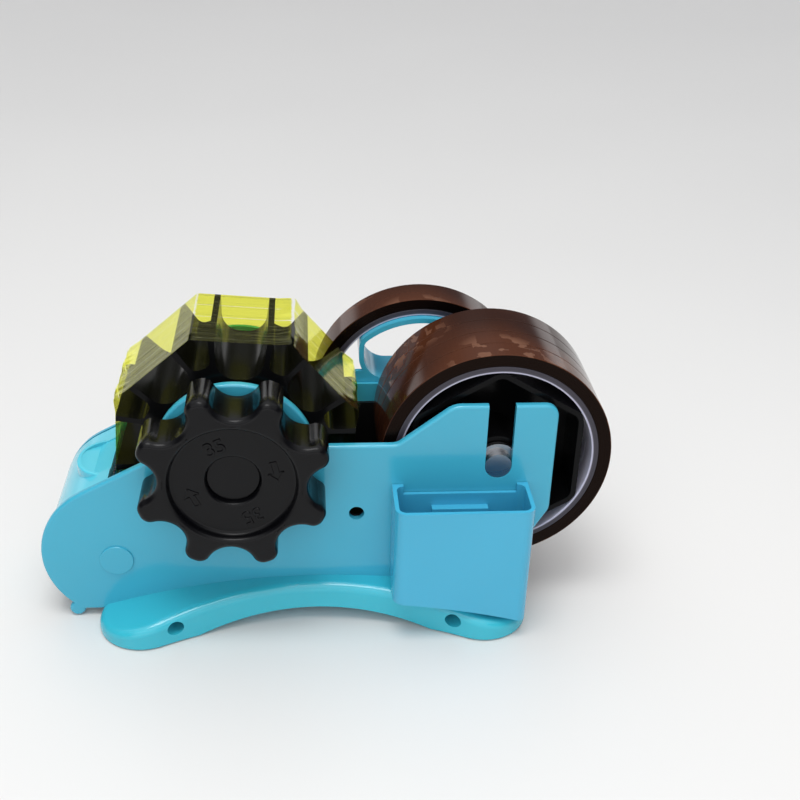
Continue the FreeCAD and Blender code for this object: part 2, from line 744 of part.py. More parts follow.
def tape_strips():
    """Four strips of film on each facet, each one cut length long."""
    strips = []
    out = "facet_reach"
    for k in range(int(num("facet_count"))):
        turn = "(%g*360/facet_count + drum_turn)" % k
        for j in range(4):
            y = "(%g*tape_pitch - tape_width/2)" % (j - 1.5)
            x = "drum_x - cut_length/2*cos(%s) + %s*sin(%s)" % (turn, out, turn)
            z = "drum_z + cut_length/2*sin(%s) + %s*cos(%s)" % (turn, out, turn)
            strips.append(block("strip%d_%d" % (k, j), "cut_length", "tape_width", "film_thick",
                                x, y, z, ((0, 1, 0), turn)))
    node(group("strips", strips), "tape_strips")


def drum_axle():
    shaft = rod("axle_shaft", "axle_round", "%s + %s + 3" % (AXLE_NEAR, WALL_OUT), "drum_x", "-" + AXLE_NEAR, "drum_z")
    groove = ring("axle_groove", "axle_round + 1", "axle_round - 0.7", "0.9", "drum_x", WALL_OUT + " + 0.4", "drum_z")
    bore = rod("axle_bore", "screw_round + seat", "10", "drum_x", "-" + AXLE_NEAR + " - 1", "drum_z")
    node(cut("axle_cut", shaft, groove, bore), "drum_axle")
    clip = ring("clip_ring", "axle_round + 2.4", "axle_round - 0.68", "0.8", "drum_x", WALL_OUT + " + 0.45", "drum_z")
    gap = block("clip_gap", "4.4", "3", "10", "drum_x - 2.2", WALL_OUT, "drum_z - 10")
    node(cut("clip_cut", clip, gap), "axle_clip")
    bushes = []
    for side in "-+":
        flange_y = "-" + WALL_IN if side == "-" else WALL_IN + " - bush_flange"
        sleeve_y = "-" + WALL_OUT if side == "-" else WALL_IN
        name = "bush_near" if side == "-" else "bush_far"
        flange = rod(name + "_flange", "bush_flange_round", "bush_flange", "drum_x", flange_y, "drum_z")
        sleeve = rod(name + "_sleeve", "bush_round", "wall", "drum_x", sleeve_y, "drum_z")
        hole = rod(name + "_hole", "axle_round + run", "8", "drum_x", flange_y + " - 4", "drum_z")
        bushes.append(cut(name, join(name + "_solid", flange, sleeve), hole))
    node(group("bushes", bushes), "axle_bushes")


def hand_knob():
    """Eight-lobed knob with a dished face, hollow behind, held to the axle by a screw under a cap."""
    body = DOC.addObject("PartDesign::Body", "knob_body")
    disc = sketch_on(body, "knob_outline")
    circle = disc.addGeometry(Part.Circle(FreeCAD.Vector(), FreeCAD.Vector(0, 0, 1), num("knob_round")))
    hold(disc, "Coincident", circle, 3, -1, 1)
    hold(disc, "Radius", circle, "knob_round")
    pad(body, "knob_mass", disc, "knob_thick")
    notch = sketch_on(body, "notch_outline")
    circle = notch.addGeometry(Part.Circle(FreeCAD.Vector(0, num("knob_notch_at"), 0), FreeCAD.Vector(0, 0, 1),
                                           num("knob_notch_round")))
    hold(notch, "PointOnObject", circle, 3, -2)
    hold(notch, "DistanceY", -1, 1, circle, 3, "knob_notch_at")
    hold(notch, "Radius", circle, "knob_notch_round")
    pocket(body, "notch", notch)
    polar(body, "notches", body.Tip, "8")
    DOC.recompute()
    notch_cos = "((knob_round^2 + knob_notch_at^2 - knob_notch_round^2)/(2*knob_round*knob_notch_at))"
    lobe_half = "(knob_round*(sin(180/8)*%s - cos(180/8)*sqrt(1 - %s^2)))" % (notch_cos, notch_cos)
    round_edges(body, "lobes", "min(knob_lobe_round; 0.85*%s)" % lobe_half, lambda edge: edge.BoundBox.YLength > num("knob_thick") - 0.1
                and edge.BoundBox.XLength < 0.1 and edge.BoundBox.ZLength < 0.1
                and edge.CenterOfMass.Length > num("knob_round") - 3)
    round_edges(body, "front_rim", "knob_edge_round", flat_edge_at("Y", 0.0))
    for name, radius, deep in (("dish", "knob_dish_round", "knob_dish_deep"),
                               ("eye", "knob_eye_round", "knob_dish_deep + knob_eye_deep"),
                               ("screw_pit", "screw_head_round + 0.3", "knob_dish_deep + knob_eye_deep + screw_head + 0.2"),
                               ("screw_way", "screw_round + 0.1", "knob_thick")):
        face = sketch_on(body, name + "_outline")
        circle = face.addGeometry(Part.Circle(FreeCAD.Vector(), FreeCAD.Vector(0, 0, 1), num(radius)))
        hold(face, "Coincident", circle, 3, -1, 1)
        hold(face, "Radius", circle, radius)
        pocket(body, name, face, deep)
    floor = "knob_dish_deep + knob_skin"
    hollow = sketch_on(body, "knob_hollow_outline")
    for radius in ("knob_notch_at - knob_notch_round - knob_skin", "knob_sleeve_round"):
        circle = hollow.addGeometry(Part.Circle(FreeCAD.Vector(), FreeCAD.Vector(0, 0, 1), num(radius)))
        hold(hollow, "Coincident", circle, 3, -1, 1)
        hold(hollow, "Radius", circle, radius)
    bind(hollow, "AttachmentOffset.Base.z", "-(%s)" % floor)
    pocket(body, "knob_hollow", hollow, "knob_thick - (%s)" % floor)
    bore = sketch_on(body, "knob_bore_outline")
    circle = bore.addGeometry(Part.Circle(FreeCAD.Vector(), FreeCAD.Vector(0, 0, 1), num("axle_round + seat")))
    hold(bore, "Coincident", circle, 3, -1, 1)
    hold(bore, "Radius", circle, "axle_round + seat")
    start = "(%s - %s - seat)" % (KNOB_FRONT, AXLE_NEAR)
    bind(bore, "AttachmentOffset.Base.z", "-" + start)
    pocket(body, "knob_bore", bore, "knob_thick - " + start)
    place(body, "drum_x", "-" + KNOB_FRONT, "drum_z", ((0, 1, 0), "3"))
    DOC.recompute()
    node(body, "hand_knob")
    seat_y = "-(%s - screw_head - 0.2)" % KNOB_EYE
    node(screw("knob_screw_part", "drum_x", "drum_z", seat_y, "10"), "knob_screw")
    cap = rod("cap_disc", "knob_eye_round - 0.15", "cap_thick", "drum_x", "-%s - cap_thick" % KNOB_EYE, "drum_z")
    DOC.recompute()
    node(soften("cap_soft", cap, "0.5", flat_edge_at("Y", -num(KNOB_EYE + " + cap_thick"))), "knob_cap")


def round_edges(body, name, radius, wanted):
    """PartDesign fillet on the edges of the body's tip that wanted(edge) picks."""
    tip = body.Tip
    picks = ["Edge%d" % i for i, edge in enumerate(tip.Shape.Edges, start=1) if wanted(edge)]
    thing = body.newObject("PartDesign::Fillet", name)
    thing.Base = (tip, picks)
    bind(thing, "Radius", radius)
    body.Tip = thing
    DOC.recompute()
    return thing


# ---------------------------------------------------------------- reel, rolls and the tape between them
def rolls():
    for k in range(4):
        y = "%g*tape_pitch - tape_width/2" % (k - 1.5)
        core = ring("core%d" % (k + 1), CORE_OUT, "core_round", "tape_width", "reel_x", y, "reel_z")
        node(core, "tape_core_%d" % (k + 1))
        wound = ring("wound%d" % (k + 1), WOUND_ROUND, CORE_OUT + " + seat", "tape_width", "reel_x", y, "reel_z")
        node(wound, "tape_wound_%d" % (k + 1))


def reel_hub():
    """Hexagonal tube with rounded corners that reach the cores, on a web and a boss."""
    body = DOC.addObject("PartDesign::Body", "hub_body")
    outline = sketch_on(body, "hub_outline")
    rounded_outline(outline, hexagon("hub_vertex", "hub_corner_round"))
    pad(body, "hub_mass", outline, "3*tape_pitch + tape_width")
    inner = "(hub_vertex - hub_wall/cos(30))"
    for side, offset in (("near", "0"), ("far", "(3*tape_pitch + tape_width + hub_web)/2")):
        hollow = sketch_on(body, "hub_hollow_%s_outline" % side)
        rounded_outline(hollow, hexagon(inner, "hub_corner_round - hub_wall"))
        circle = hollow.addGeometry(Part.Circle(FreeCAD.Vector(), FreeCAD.Vector(0, 0, 1), num("hub_boss_round")))
        hold(hollow, "Coincident", circle, 3, -1, 1)
        hold(hollow, "Radius", circle, "hub_boss_round")
        bind(hollow, "AttachmentOffset.Base.z", "-(%s)" % offset)
        pocket(body, "hub_hollow_%s" % side, hollow, "(3*tape_pitch + tape_width - hub_web)/2")
    bore = sketch_on(body, "hub_bore_outline")
    circle = bore.addGeometry(Part.Circle(FreeCAD.Vector(), FreeCAD.Vector(0, 0, 1), num("reel_axle_round + seat")))
    hold(bore, "Coincident", circle, 3, -1, 1)
    hold(bore, "Radius", circle, "reel_axle_round + seat")
    pocket(body, "hub_bore", bore)
    place(body, "reel_x", "-(3*tape_pitch + tape_width)/2", "reel_z")
    DOC.recompute()
    node(body, "reel_hub")


def hexagon(vertex, corner):
    corners = []
    for k in range(6):
        turn = 30 + 60 * k
        corners.append(("(%s)*cos(%d)" % (vertex, turn), "(%s)*sin(%d)" % (vertex, turn), corner))
    return corners


def reel_axle():
    shaft = rod("reel_shaft", "reel_axle_round", "2*(%s - 0.1)" % WALL_OUT, "reel_x", "-" + WALL_OUT + " + 0.1", "reel_z")
    near = rod("reel_collar_near", "reel_axle_round + 3", "1.8", "reel_x", "-" + WALL_IN + " + 0.3", "reel_z")
    far = rod("reel_collar_far", "reel_axle_round + 3", "1.8", "reel_x", WALL_IN + " - 2.1", "reel_z")
    node(join("reel_axle_solid", shaft, near, far), "reel_axle")


def tape_web():
    """Four lengths of film that run from under the rolls to under the drum."""
    drum_round = "(facet_reach/cos(180/facet_count) + film_thick + 0.4)"
    roll_round = "(%s + 0.4)" % WOUND_ROUND
    run_x = "(reel_x - drum_x)"
    run_z = "(reel_z - %s - drum_z + %s)" % (roll_round, drum_round)
    turn = "(-1*atan(%s/%s))" % (run_z, run_x)
    webs = []
    for k in range(4):
        y = "%g*tape_pitch - tape_width/2" % (k - 1.5)
        webs.append(block("web%d" % k, "%s/cos(%s)" % (run_x, turn), "tape_width", "film_thick/2",
                          "drum_x", y, "drum_z - %s - film_thick/2" % drum_round, ((0, 1, 0), turn)))
    node(group("webs", webs), "tape_web")


# ---------------------------------------------------------------- spare roll on its hoop
def hoop_mass(name, inset, y, length):
    """Half-moon prism: a round top over a flat chord with rounded ends."""
    chord = slab(name + "_chord", [
        ("spare_x - hoop_half + %s" % inset, "hoop_low_z + %s" % inset, "hoop_corner_round - %s" % inset),
        ("spare_x + hoop_half - %s" % inset, "hoop_low_z + %s" % inset, "hoop_corner_round - %s" % inset),
        ("spare_x + hoop_half - %s" % inset, "spare_z + hoop_round", None),
        ("spare_x - hoop_half + %s" % inset, "spare_z + hoop_round", None)], length, y)
    disc = rod(name + "_disc", "hoop_round - %s" % inset, length, "spare_x", y, "spare_z")
    half_moon = common(name + "_moon", chord, disc)
    side = num("hoop_half - %s" % inset)

    def crown(edge):
        box = edge.BoundBox
        return (box.ZLength < 1e-3 and box.YLength > 5 and box.ZMin > num("hoop_low_z + hoop_corner_round + 1")
                and abs(abs(box.XMin - num("spare_x")) - side) < 1e-3)
    return soften(name, half_moon, "hoop_crown_round - %s" % inset, crown)


def spare_roll():
    y = WALL_OUT
    shell = hoop_mass("hoop_outer", "0", y, "hoop_reach")
    plate = slab("hoop_plate", [
        ("spare_x - plate_half", "plate_low_z", "4"),
        ("spare_x + plate_half", "plate_low_z", "4"),
        ("spare_x + plate_half", "plate_top_z", "1.5"),
        ("spare_x - plate_half", "plate_top_z", "1.5")], "plate_thick", y)
    hollow = hoop_mass("hoop_inner", "hoop_wall", y + " - 1", "hoop_reach + 2")
    bores = [rod("holder_bore%d" % i, "screw_round + 0.1", "10", "spare_x %s 9" % sign, y + " - 1", "57")
             for i, sign in enumerate("-+")]
    node(cut("holder_cut", join("holder_solid", shell, plate), hollow, *bores), "spare_roll_holder")
    screws = [screw("holder_screw%d" % i, "spare_x %s 9" % sign, "57", y + " + plate_thick", "5.8", away=True)
              for i, sign in enumerate("-+")]
    node(group("holder_screw_set", screws), "holder_screws")
    node(ring("spare_core_ring", CORE_OUT, "hoop_round + 2*run", "spare_width", "spare_x", SPARE_Y, "spare_z"),
         "spare_core")
    node(ring("spare_tape_ring", CORE_OUT + " + spare_wound", CORE_OUT + " + seat", "spare_width",
              "spare_x", SPARE_Y, "spare_z"), "spare_tape")


# ---------------------------------------------------------------- pen box
def pen_box():
    """Open box that hangs on the near wall's rail; its floor follows the foot under it."""
    arch_z = "foot_top_z - foot_top_round"
    deep = BOX_FRONT + " - " + BOX_Y
    low = "foot_arch_z - 4"
    mass = slab("box_mass", [
        ("box_left_x", "box_top_z", None), ("box_left_x", low, None),
        ("box_left_x + box_width", low, None), ("box_left_x + box_width", "box_top_z", None)],
        deep, "-" + BOX_FRONT)
    under = rod("box_under", "foot_top_round + box_over_foot", "60", "foot_mid_x", "-70", arch_z)
    shape = cut("box_shape", mass, under)
    DOC.recompute()
    soft = soften("box_soft", shape, "box_corner_round",
                  lambda edge: edge.BoundBox.YMax < -num(BOX_FRONT) + 0.01 and edge.BoundBox.ZLength > 30)
    core = block("box_core", "box_width - 2*box_wall", deep + " - 2*box_wall", "box_top_z",
                 "box_left_x + box_wall", "-" + BOX_FRONT + " + box_wall", "0")
    floor = rod("box_floor", "foot_top_round + box_over_foot + box_wall", "60", "foot_mid_x", "-70", arch_z)
    room = cut("box_room", core, floor)
    DOC.recompute()
    inside = soften("box_inside", room, "box_corner_round - box_wall",
                    lambda edge: edge.BoundBox.ZLength > 30)
    boss = block("box_boss_block", "box_boss_width", "box_boss + 1", "box_boss_z",
                 BOX_MID_X + " - box_boss_width/2", "-" + BOX_Y + " - box_boss", "0")
    hollow = cut("box_hollow", inside, boss)
    back = block("box_back_drop", "box_width - 2*box_corner_round", "box_wall + 2", "20",
                 "box_left_x + box_corner_round", "-" + BOX_Y + " - box_wall - 1", "box_back_z")
    groove = dovetail("box_groove", "slide", "0", "rail_top_z + slide")
    node(cut("box_cut", soft, hollow, back, groove), "pen_box")


# ---------------------------------------------------------------- nose cover with the cutter
def blade_frame(body, drop):
    """Put a body's own X from the teeth outwards, and its Z down from the blade."""
    place(body, "%s + (%s)*sin(%s)" % (TEETH_X, drop, BLADE_TURN), "0",
          "%s + (%s)*cos(%s)" % (TEETH_Z, drop, BLADE_TURN), ((0, 1, 0), BLADE_TURN))


def blade_plate(name, start, end, half, thick, drop):
    body = DOC.addObject("PartDesign::Body", name)
    sketch = sketch_on(body, name + "_outline", "XY_Plane")
    rounded_outline(sketch, [(start, "-(%s)" % half, None), (end, "-(%s)" % half, None),
                             (end, half, None), (start, half, None)])
    pad(body, name + "_pad", sketch, thick)
    blade_frame(body, drop)
    DOC.recompute()
    return body


def blade_rod(name, radius, length, y, drop):
    """A cylinder square to the blade, through the middle of the clamp, from drop downwards."""
    thing = DOC.addObject("Part::Cylinder", name)
    bind(thing, "Radius", radius)
    bind(thing, "Height", length)
    out = "(clamp_out + clamp_tall/2)"
    return place(thing, "%s + %s*cos(%s) + (%s)*sin(%s)" % (TEETH_X, out, BLADE_TURN, drop, BLADE_TURN), y,
                 "%s - %s*sin(%s) + (%s)*cos(%s)" % (TEETH_Z, out, BLADE_TURN, drop, BLADE_TURN),
                 ((0, 1, 0), BLADE_TURN))


def two_bores(body, name):
    """Two holes through a blade plate, for the clamp screws."""
    sketch = sketch_on(body, name + "_outline", "XY_Plane")
    radius = "clamp_screw_round + 0.1"
    out = "clamp_out + clamp_tall/2"
    for side in ("-clamp_screw_half", "clamp_screw_half"):
        circle = sketch.addGeometry(Part.Circle(FreeCAD.Vector(num(out), num(side), 0), FreeCAD.Vector(0, 0, 1),
                                                num(radius)))
        pin_point(sketch, circle, 3, out, side)
        hold(sketch, "Radius", circle, radius)
    pocket(body, name, sketch)


def nose_cover():
    """Rocking cover: a curved shell with a thumb dish, two cheeks and a hub on the hinge pin."""
    shell = slab("cover_shell", [
        ("cover_top_x", slope_z("cover_top_x", "cover_inset"), None),
        ("nose_x - nose_round + cover_inset",
         "nose_z + (nose_round - cover_inset)*(1/cos(nose_slope) - tan(nose_slope))", "nose_round - cover_inset"),
        ("nose_x - nose_round + cover_inset", "cover_low_z", None),
        ("nose_x - nose_round + cover_inset + cover_wall", "cover_low_z", None),
        ("nose_x - nose_round + cover_inset + cover_wall",
         "nose_z + (nose_round - cover_inset - cover_wall)*(1/cos(nose_slope) - tan(nose_slope))",
         "nose_round - cover_inset - cover_wall"),
        ("cover_top_x", slope_z("cover_top_x", "cover_inset + cover_wall"), None)],
        "cover_width", "-cover_width/2")
    parts = [shell]
    for side, y in (("near", "-cover_width/2"), ("far", "cover_width/2 - cheek")):
        parts.append(slab("cover_cheek_" + side, [
            ("pivot_x - boss_round", "pivot_z - boss_round", "boss_round - 0.5"),
            ("pivot_x + boss_round", "pivot_z - boss_round", "boss_round - 0.5"),
            ("pivot_x + boss_round", "pivot_z + boss_round", "5"),
            ("cover_top_x + 0.6", slope_z("cover_top_x", "cover_inset + 3.4"), None),
            ("cover_top_x", slope_z("cover_top_x", "cover_inset + 0.8"), None),
            ("nose_x - nose_round/2", slope_z("nose_x - nose_round/2", "cover_inset + 0.8"), None),
            ("nose_x - nose_round + cover_inset + 1", "nose_z + nose_round/4", None),
            ("nose_x - nose_round + cover_inset + 1", "cover_low_z + 4", None)], "cheek", y))
        boss_y = "-cover_width/2 - 1.4" if side == "near" else "cover_width/2 - cheek - 2"
        parts.append(rod("cover_boss_" + side, "boss_round", "cheek + 3.4", "pivot_x", boss_y, "pivot_z"))
    ledge = DOC.addObject("PartDesign::Body", "thumb_ledge")
    outline = sketch_on(ledge, "thumb_ledge_outline", "XY_Plane")
    rounded_outline(outline, [("-ledge_reach", "-ledge_half", "0.95*ledge_half"), ("3", "-ledge_half", None),
                              ("3", "ledge_half", None), ("-ledge_reach", "ledge_half", "0.95*ledge_half")])
    pad(ledge, "thumb_ledge_pad", outline, "ledge_thick")
    DOC.recompute()
    round_edges(ledge, "thumb_ledge_soft", "0.8", lambda edge: edge.BoundBox.XMin < 2.99
                and edge.BoundBox.ZLength < 0.01)
    end_z = slope_z("cover_top_x", "cover_inset")
    place(ledge, "cover_top_x", "0", end_z + " - ledge_drop - ledge_thick")
    dish = DOC.addObject("PartDesign::Body", "thumb_dish")
    outline = sketch_on(dish, "thumb_dish_outline", "XY_Plane")
    half = "(ledge_half - ledge_rim)"
    tip = "-(ledge_reach - ledge_rim)"
    rounded_outline(outline, [(tip, "-" + half, "0.95*" + half), ("3", "-" + half, None),
                              ("3", half, None), (tip, half, "0.95*" + half)])
    pad(dish, "thumb_dish_pad", outline, "12")
    place(dish, "cover_top_x", "0", end_z + " - ledge_drop - dish_deep")
    # the dish is a hollow across the ledge that rises over the blade towards the drum
    scoop = common("thumb_scoop", dish,
                   rod("thumb_scoop_round", "dish_round", "2*ledge_half", "cover_top_x - dish_out", "-ledge_half",
                       end_z + " - ledge_drop - dish_deep + dish_round"),
                   blade_plate("thumb_scoop_ramp", "-6", "30", "ledge_half", "20",
                               "-blade_thick/2 - seat - blade_cover - 20"))
    seat = blade_plate("blade_seat", "-1", "clamp_out + clamp_tall + 0.3", "blade_half + 0.1", "6",
                       "-blade_thick/2 - seat")
    bores = rod("cover_pin_bore", "pin_round + run", "60", "pivot_x", "-30", "pivot_z")
    DOC.recompute()
    ways = [blade_rod("cover_screw_way%d" % i, "clamp_screw_round + seat", "4", side + "clamp_screw_half", "-1.4")
            for i, side in enumerate("-+")]
    solid = join("cover_solid", *parts, ledge)
    node(cut("cover_cut", solid, scoop, seat, bores, *ways), "nose_cover")


def cutter():
    blade = blade_plate("blade_body", "0", "blade_tall", "blade_half", "blade_thick", "-blade_thick/2")
    tooth = sketch_on(blade, "tooth_outline", "XY_Plane")
    rounded_outline(tooth, [("-1", "-blade_half - 0.01", None), ("tooth_tall", "-blade_half + tooth_pitch/2", None),
                            ("-1", "-blade_half + tooth_pitch + 0.01", None)])
    first = pocket(blade, "tooth_gap", tooth)
    row = blade.newObject("PartDesign::LinearPattern", "tooth_gaps")
    row.Originals = [first]
    row.Direction = (origin_plane(blade, "Y_Axis"), [""])
    count = int(round(num("2*blade_half/tooth_pitch")))
    bind(row, "Length", "tooth_pitch*%d" % (count - 1))
    row.Occurrences = count
    blade.Tip = row
    DOC.recompute()
    two_bores(blade, "blade_holes")
    DOC.recompute()
    node(blade, "cutter_blade")
    clamp = blade_plate("clamp_body", "clamp_out", "clamp_out + clamp_tall", "blade_half", "bar_thick", "blade_thick/2")
    two_bores(clamp, "clamp_holes")
    DOC.recompute()
    node(clamp, "blade_clamp")
    screws = []
    for i, side in enumerate("-+"):
        y = side + "clamp_screw_half"
        shank = blade_rod("clamp_shank%d" % i, "clamp_screw_round", "blade_thick/2 + bar_thick + 1.2", y, "-1.2")
        head = blade_rod("clamp_head%d" % i, "2*clamp_screw_round", "1.2", y, "blade_thick/2 + bar_thick")
        slot = blade_rod("clamp_socket%d" % i, "clamp_screw_round", "1", y, "blade_thick/2 + bar_thick + 0.6")
        screws.append(cut("clamp_screw%d" % i, join("clamp_screw_solid%d" % i, shank, head), slot))
    node(group("clamp_screw_set", screws), "clamp_screws")


def hinge():
    pin = rod("pin_rod", "pin_round", "2*" + WALL_OUT, "pivot_x", "-" + WALL_OUT, "pivot_z")
    node(pin, "pivot_pin")
    near = rod("pin_cap_near_disc", "pin_cap_round", "pin_cap", "pivot_x", "-" + WALL_OUT + " - pin_cap", "pivot_z")
    DOC.recompute()
    soft = soften("pin_cap_near", near, "0.4", flat_edge_at("Y", -num(WALL_OUT + " + pin_cap")))
    node(group("pin_caps", [soft, mirrored("pin_cap_far", soft)]), "pivot_caps")


def cutter_spring():
    """Torsion spring round the hinge pin."""
    path = DOC.addObject("Part::Helix", "spring_path")
    bind(path, "Pitch", "spring_pitch")
    bind(path, "Height", "spring_length")
    bind(path, "Radius", "spring_round")
    wire = DOC.addObject("Part::Circle", "spring_wire_outline")
    bind(wire, "Radius", "spring_wire")
    wire.Placement.Rotation = FreeCAD.Rotation(FreeCAD.Vector(1, 0, 0), 90)
    bind(wire, "Placement.Base.x", "spring_round")
    coil = DOC.addObject("Part::Sweep", "spring_coil")
    coil.Sections = [wire]
    coil.Spine = (path, ["Edge1"])
    coil.Solid = True
    coil.Frenet = True
    place(coil, "pivot_x", "-spring_length/2", "pivot_z", ((1, 0, 0), "-90"))
    node(coil, "cutter_spring")


# ---------------------------------------------------------------- build, check and write
def main():
    near_side_wall()
    far_side_wall()
    inner_frame()
    feet()
    cutting_drum()
    tape_strips()
    drum_axle()
    hand_knob()
    rolls()
    reel_hub()
    reel_axle()
    tape_web()
    spare_roll()
    pen_box()
    nose_cover()
    cutter()
    hinge()
    cutter_spring()
    DOC.recompute()
    bad = [thing.Name for thing in DOC.Objects if "Invalid" in thing.State or "Error" in thing.State]
    if bad:
        raise RuntimeError("broken objects: " + ", ".join(bad))
    os.makedirs("parts", exist_ok=True)
    for thing in NODES:
        shape = thing.Shape
        if shape.isNull() or not shape.isValid() or not shape.Solids:
            raise RuntimeError(thing.Label + " has no valid solid")
        shape.exportStep(os.path.join("parts", thing.Label + ".step"))
        print(thing.Label, len(shape.Solids), round(shape.Volume, 1))


main()
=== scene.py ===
import bpy
import math
import random
from mathutils import Matrix, Vector


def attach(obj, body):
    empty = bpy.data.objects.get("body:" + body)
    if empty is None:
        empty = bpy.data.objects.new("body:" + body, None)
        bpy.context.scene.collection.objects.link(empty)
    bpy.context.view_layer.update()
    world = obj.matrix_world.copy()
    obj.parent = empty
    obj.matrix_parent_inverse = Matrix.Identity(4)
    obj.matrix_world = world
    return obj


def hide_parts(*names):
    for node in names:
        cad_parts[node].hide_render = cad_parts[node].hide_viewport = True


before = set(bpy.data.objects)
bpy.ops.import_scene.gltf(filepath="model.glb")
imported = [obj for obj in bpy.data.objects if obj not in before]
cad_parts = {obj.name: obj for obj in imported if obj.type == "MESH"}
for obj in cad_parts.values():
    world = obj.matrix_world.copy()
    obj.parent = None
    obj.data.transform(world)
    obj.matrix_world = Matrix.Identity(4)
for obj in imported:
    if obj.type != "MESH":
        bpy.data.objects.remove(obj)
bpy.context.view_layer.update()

# ---------------------------------------------------------------- camera
# A person sitting at the desk looks down on the knob side and a little towards the rolls.
# The head is not quite level, so the view is also tilted about its own axis.
eye = Vector((-0.00772, -0.38638, 0.29375))
look_down = math.radians(28.79)
look_right = math.radians(5.36)
head_tilt = math.radians(1.92)
ahead = Vector((math.sin(look_right) * math.cos(look_down), math.cos(look_right) * math.cos(look_down),
                -math.sin(look_down)))
level = Vector((math.cos(look_right), -math.sin(look_right), 0.0))
over = level.cross(ahead)
right = level * math.cos(head_tilt) + over * math.sin(head_tilt)
up = over * math.cos(head_tilt) - level * math.sin(head_tilt)
camera_data = bpy.data.cameras.new("desk_view")
camera_data.sensor_width = 36.0
camera_data.lens = 51.65
camera_data.clip_start = 0.01
camera = bpy.data.objects.new("desk_view", camera_data)
camera.matrix_world = Matrix.Translation(eye) @ Matrix((right, up, -ahead)).transposed().to_4x4()
bpy.context.scene.collection.objects.link(camera)
bpy.context.scene.camera = camera

# ---------------------------------------------------------------- side walls
# Two injection-moulded plates of glossy teal plastic carry everything else.
# Each has a round nose, a round ear for the drum and a raised shoulder for the rolls.


class Wire:
    """A socket in a material. Arithmetic on it adds Math nodes, and node() adds any other kind."""

    def __init__(self, socket):
        self.socket = socket

    @staticmethod
    def node(tree, kind, settings, inputs, out=0):
        """Adds a node, sets its settings first, then gives its sockets values or links."""
        made = tree.nodes.new(kind)
        for name, value in settings.items():
            if name == "stops":
                ramp = made.color_ramp.elements
                while len(ramp) < len(value):
                    ramp.new(1.0)
                for stop, (place, colour) in zip(ramp, value):
                    stop.position = place
                    stop.color = (*colour, 1.0)
            else:
                setattr(made, name, value)
        for name, value in inputs.items():
            if isinstance(value, Wire):
                tree.links.new(value.socket, made.inputs[name])
            else:
                made.inputs[name].default_value = value
        return Wire(made.outputs[out])

    def maths(self, operation, first, second=0.0):
        """A Math node in this socket's material."""
        return Wire.node(self.socket.id_data, "ShaderNodeMath", {"operation": operation},
                         {0: first, 1: second})

    def __add__(self, other):
        return self.maths("ADD", self, other)

    def __radd__(self, other):
        return self.maths("ADD", other, self)

    def __sub__(self, other):
        return self.maths("SUBTRACT", self, other)

    def __rsub__(self, other):
        return self.maths("SUBTRACT", other, self)

    def __mul__(self, other):
        return self.maths("MULTIPLY", self, other)

    def __rmul__(self, other):
        return self.maths("MULTIPLY", other, self)

    def __pow__(self, other):
        return self.maths("POWER", self, other)

    def __rpow__(self, other):
        return self.maths("POWER", other, self)

    def above(self, limit):
        """1 where this is over the limit, and 0 elsewhere."""
        return self.maths("GREATER_THAN", self, limit)

    def root(self):
        """The square root."""
        return self.maths("SQRT", self)

    def part(self, axis):
        """One number of a vector: 0 for X, 1 for Y, 2 for Z."""
        return Wire.node(self.socket.id_data, "ShaderNodeSeparateXYZ", {}, {0: self}, out=axis)

    def feed(self, target):
        """Links this socket to a shader's input."""
        self.socket.id_data.links.new(self.socket, target)


def linear(red, green, blue):
    """A colour given as it is seen on a screen, 0 to 255, as the shader's linear colour."""
    def one(value):
        value /= 255.0
        return value / 12.92 if value <= 0.04045 else ((value + 0.055) / 1.055) ** 2.4
    return (one(red), one(green), one(blue))


def new_finish(name, **constants):
    """A material with one Principled surface: the material, its surface node and its Object coordinates."""
    material = bpy.data.materials.new(name)
    material.use_nodes = True
    surface = material.node_tree.nodes["Principled BSDF"]
    for socket, value in constants.items():
        surface.inputs[socket.replace("_", " ")].default_value = value
    place = Wire.node(material.node_tree, "ShaderNodeTexCoord", {}, {}, out="Object")
    return material, surface, place


def noise(place, scale, detail=2.0):
    """Soft random patches between 0 and 1."""
    return Wire.node(place.socket.id_data, "ShaderNodeTexNoise", {},
                     {"Vector": place, "Scale": scale, "Detail": detail})


def blend_colours(factor, first, second):
    """A mix of two colours by a factor that changes over the surface."""
    first, second = (colour if isinstance(colour, Wire) else (*colour, 1.0) for colour in (first, second))
    factor_in, first_in, second_in, colour_out = 0, 6, 7, 2
    return Wire.node(factor.socket.id_data, "ShaderNodeMix", {"data_type": "RGBA"},
                     {factor_in: factor, first_in: first, second_in: second}, out=colour_out)


def vary_colour(surface, place, scale, darker, lighter):
    """A base colour that drifts between two close ones."""
    blend_colours(noise(place, scale), darker, lighter).feed(surface.inputs["Base Color"])


def vary_gloss(surface, place, scale, smoothest, roughest, detail=3.0):
    """A roughness that drifts between two close values."""
    gloss = noise(place, scale, detail) * (roughest - smoothest) + smoothest
    gloss.feed(surface.inputs["Roughness"])


def emboss(surface, height, strength, distance):
    """Raises and lowers the surface a little by a height that changes over it, as bump."""
    bump = Wire.node(surface.id_data, "ShaderNodeBump", {},
                     {"Height": height, "Strength": strength, "Distance": distance}, out="Normal")
    bump.feed(surface.inputs["Normal"])


def roughen(surface, place, scale, strength, distance):
    """A fine random unevenness in the surface."""
    emboss(surface, noise(place, scale, 3.0), strength, distance)


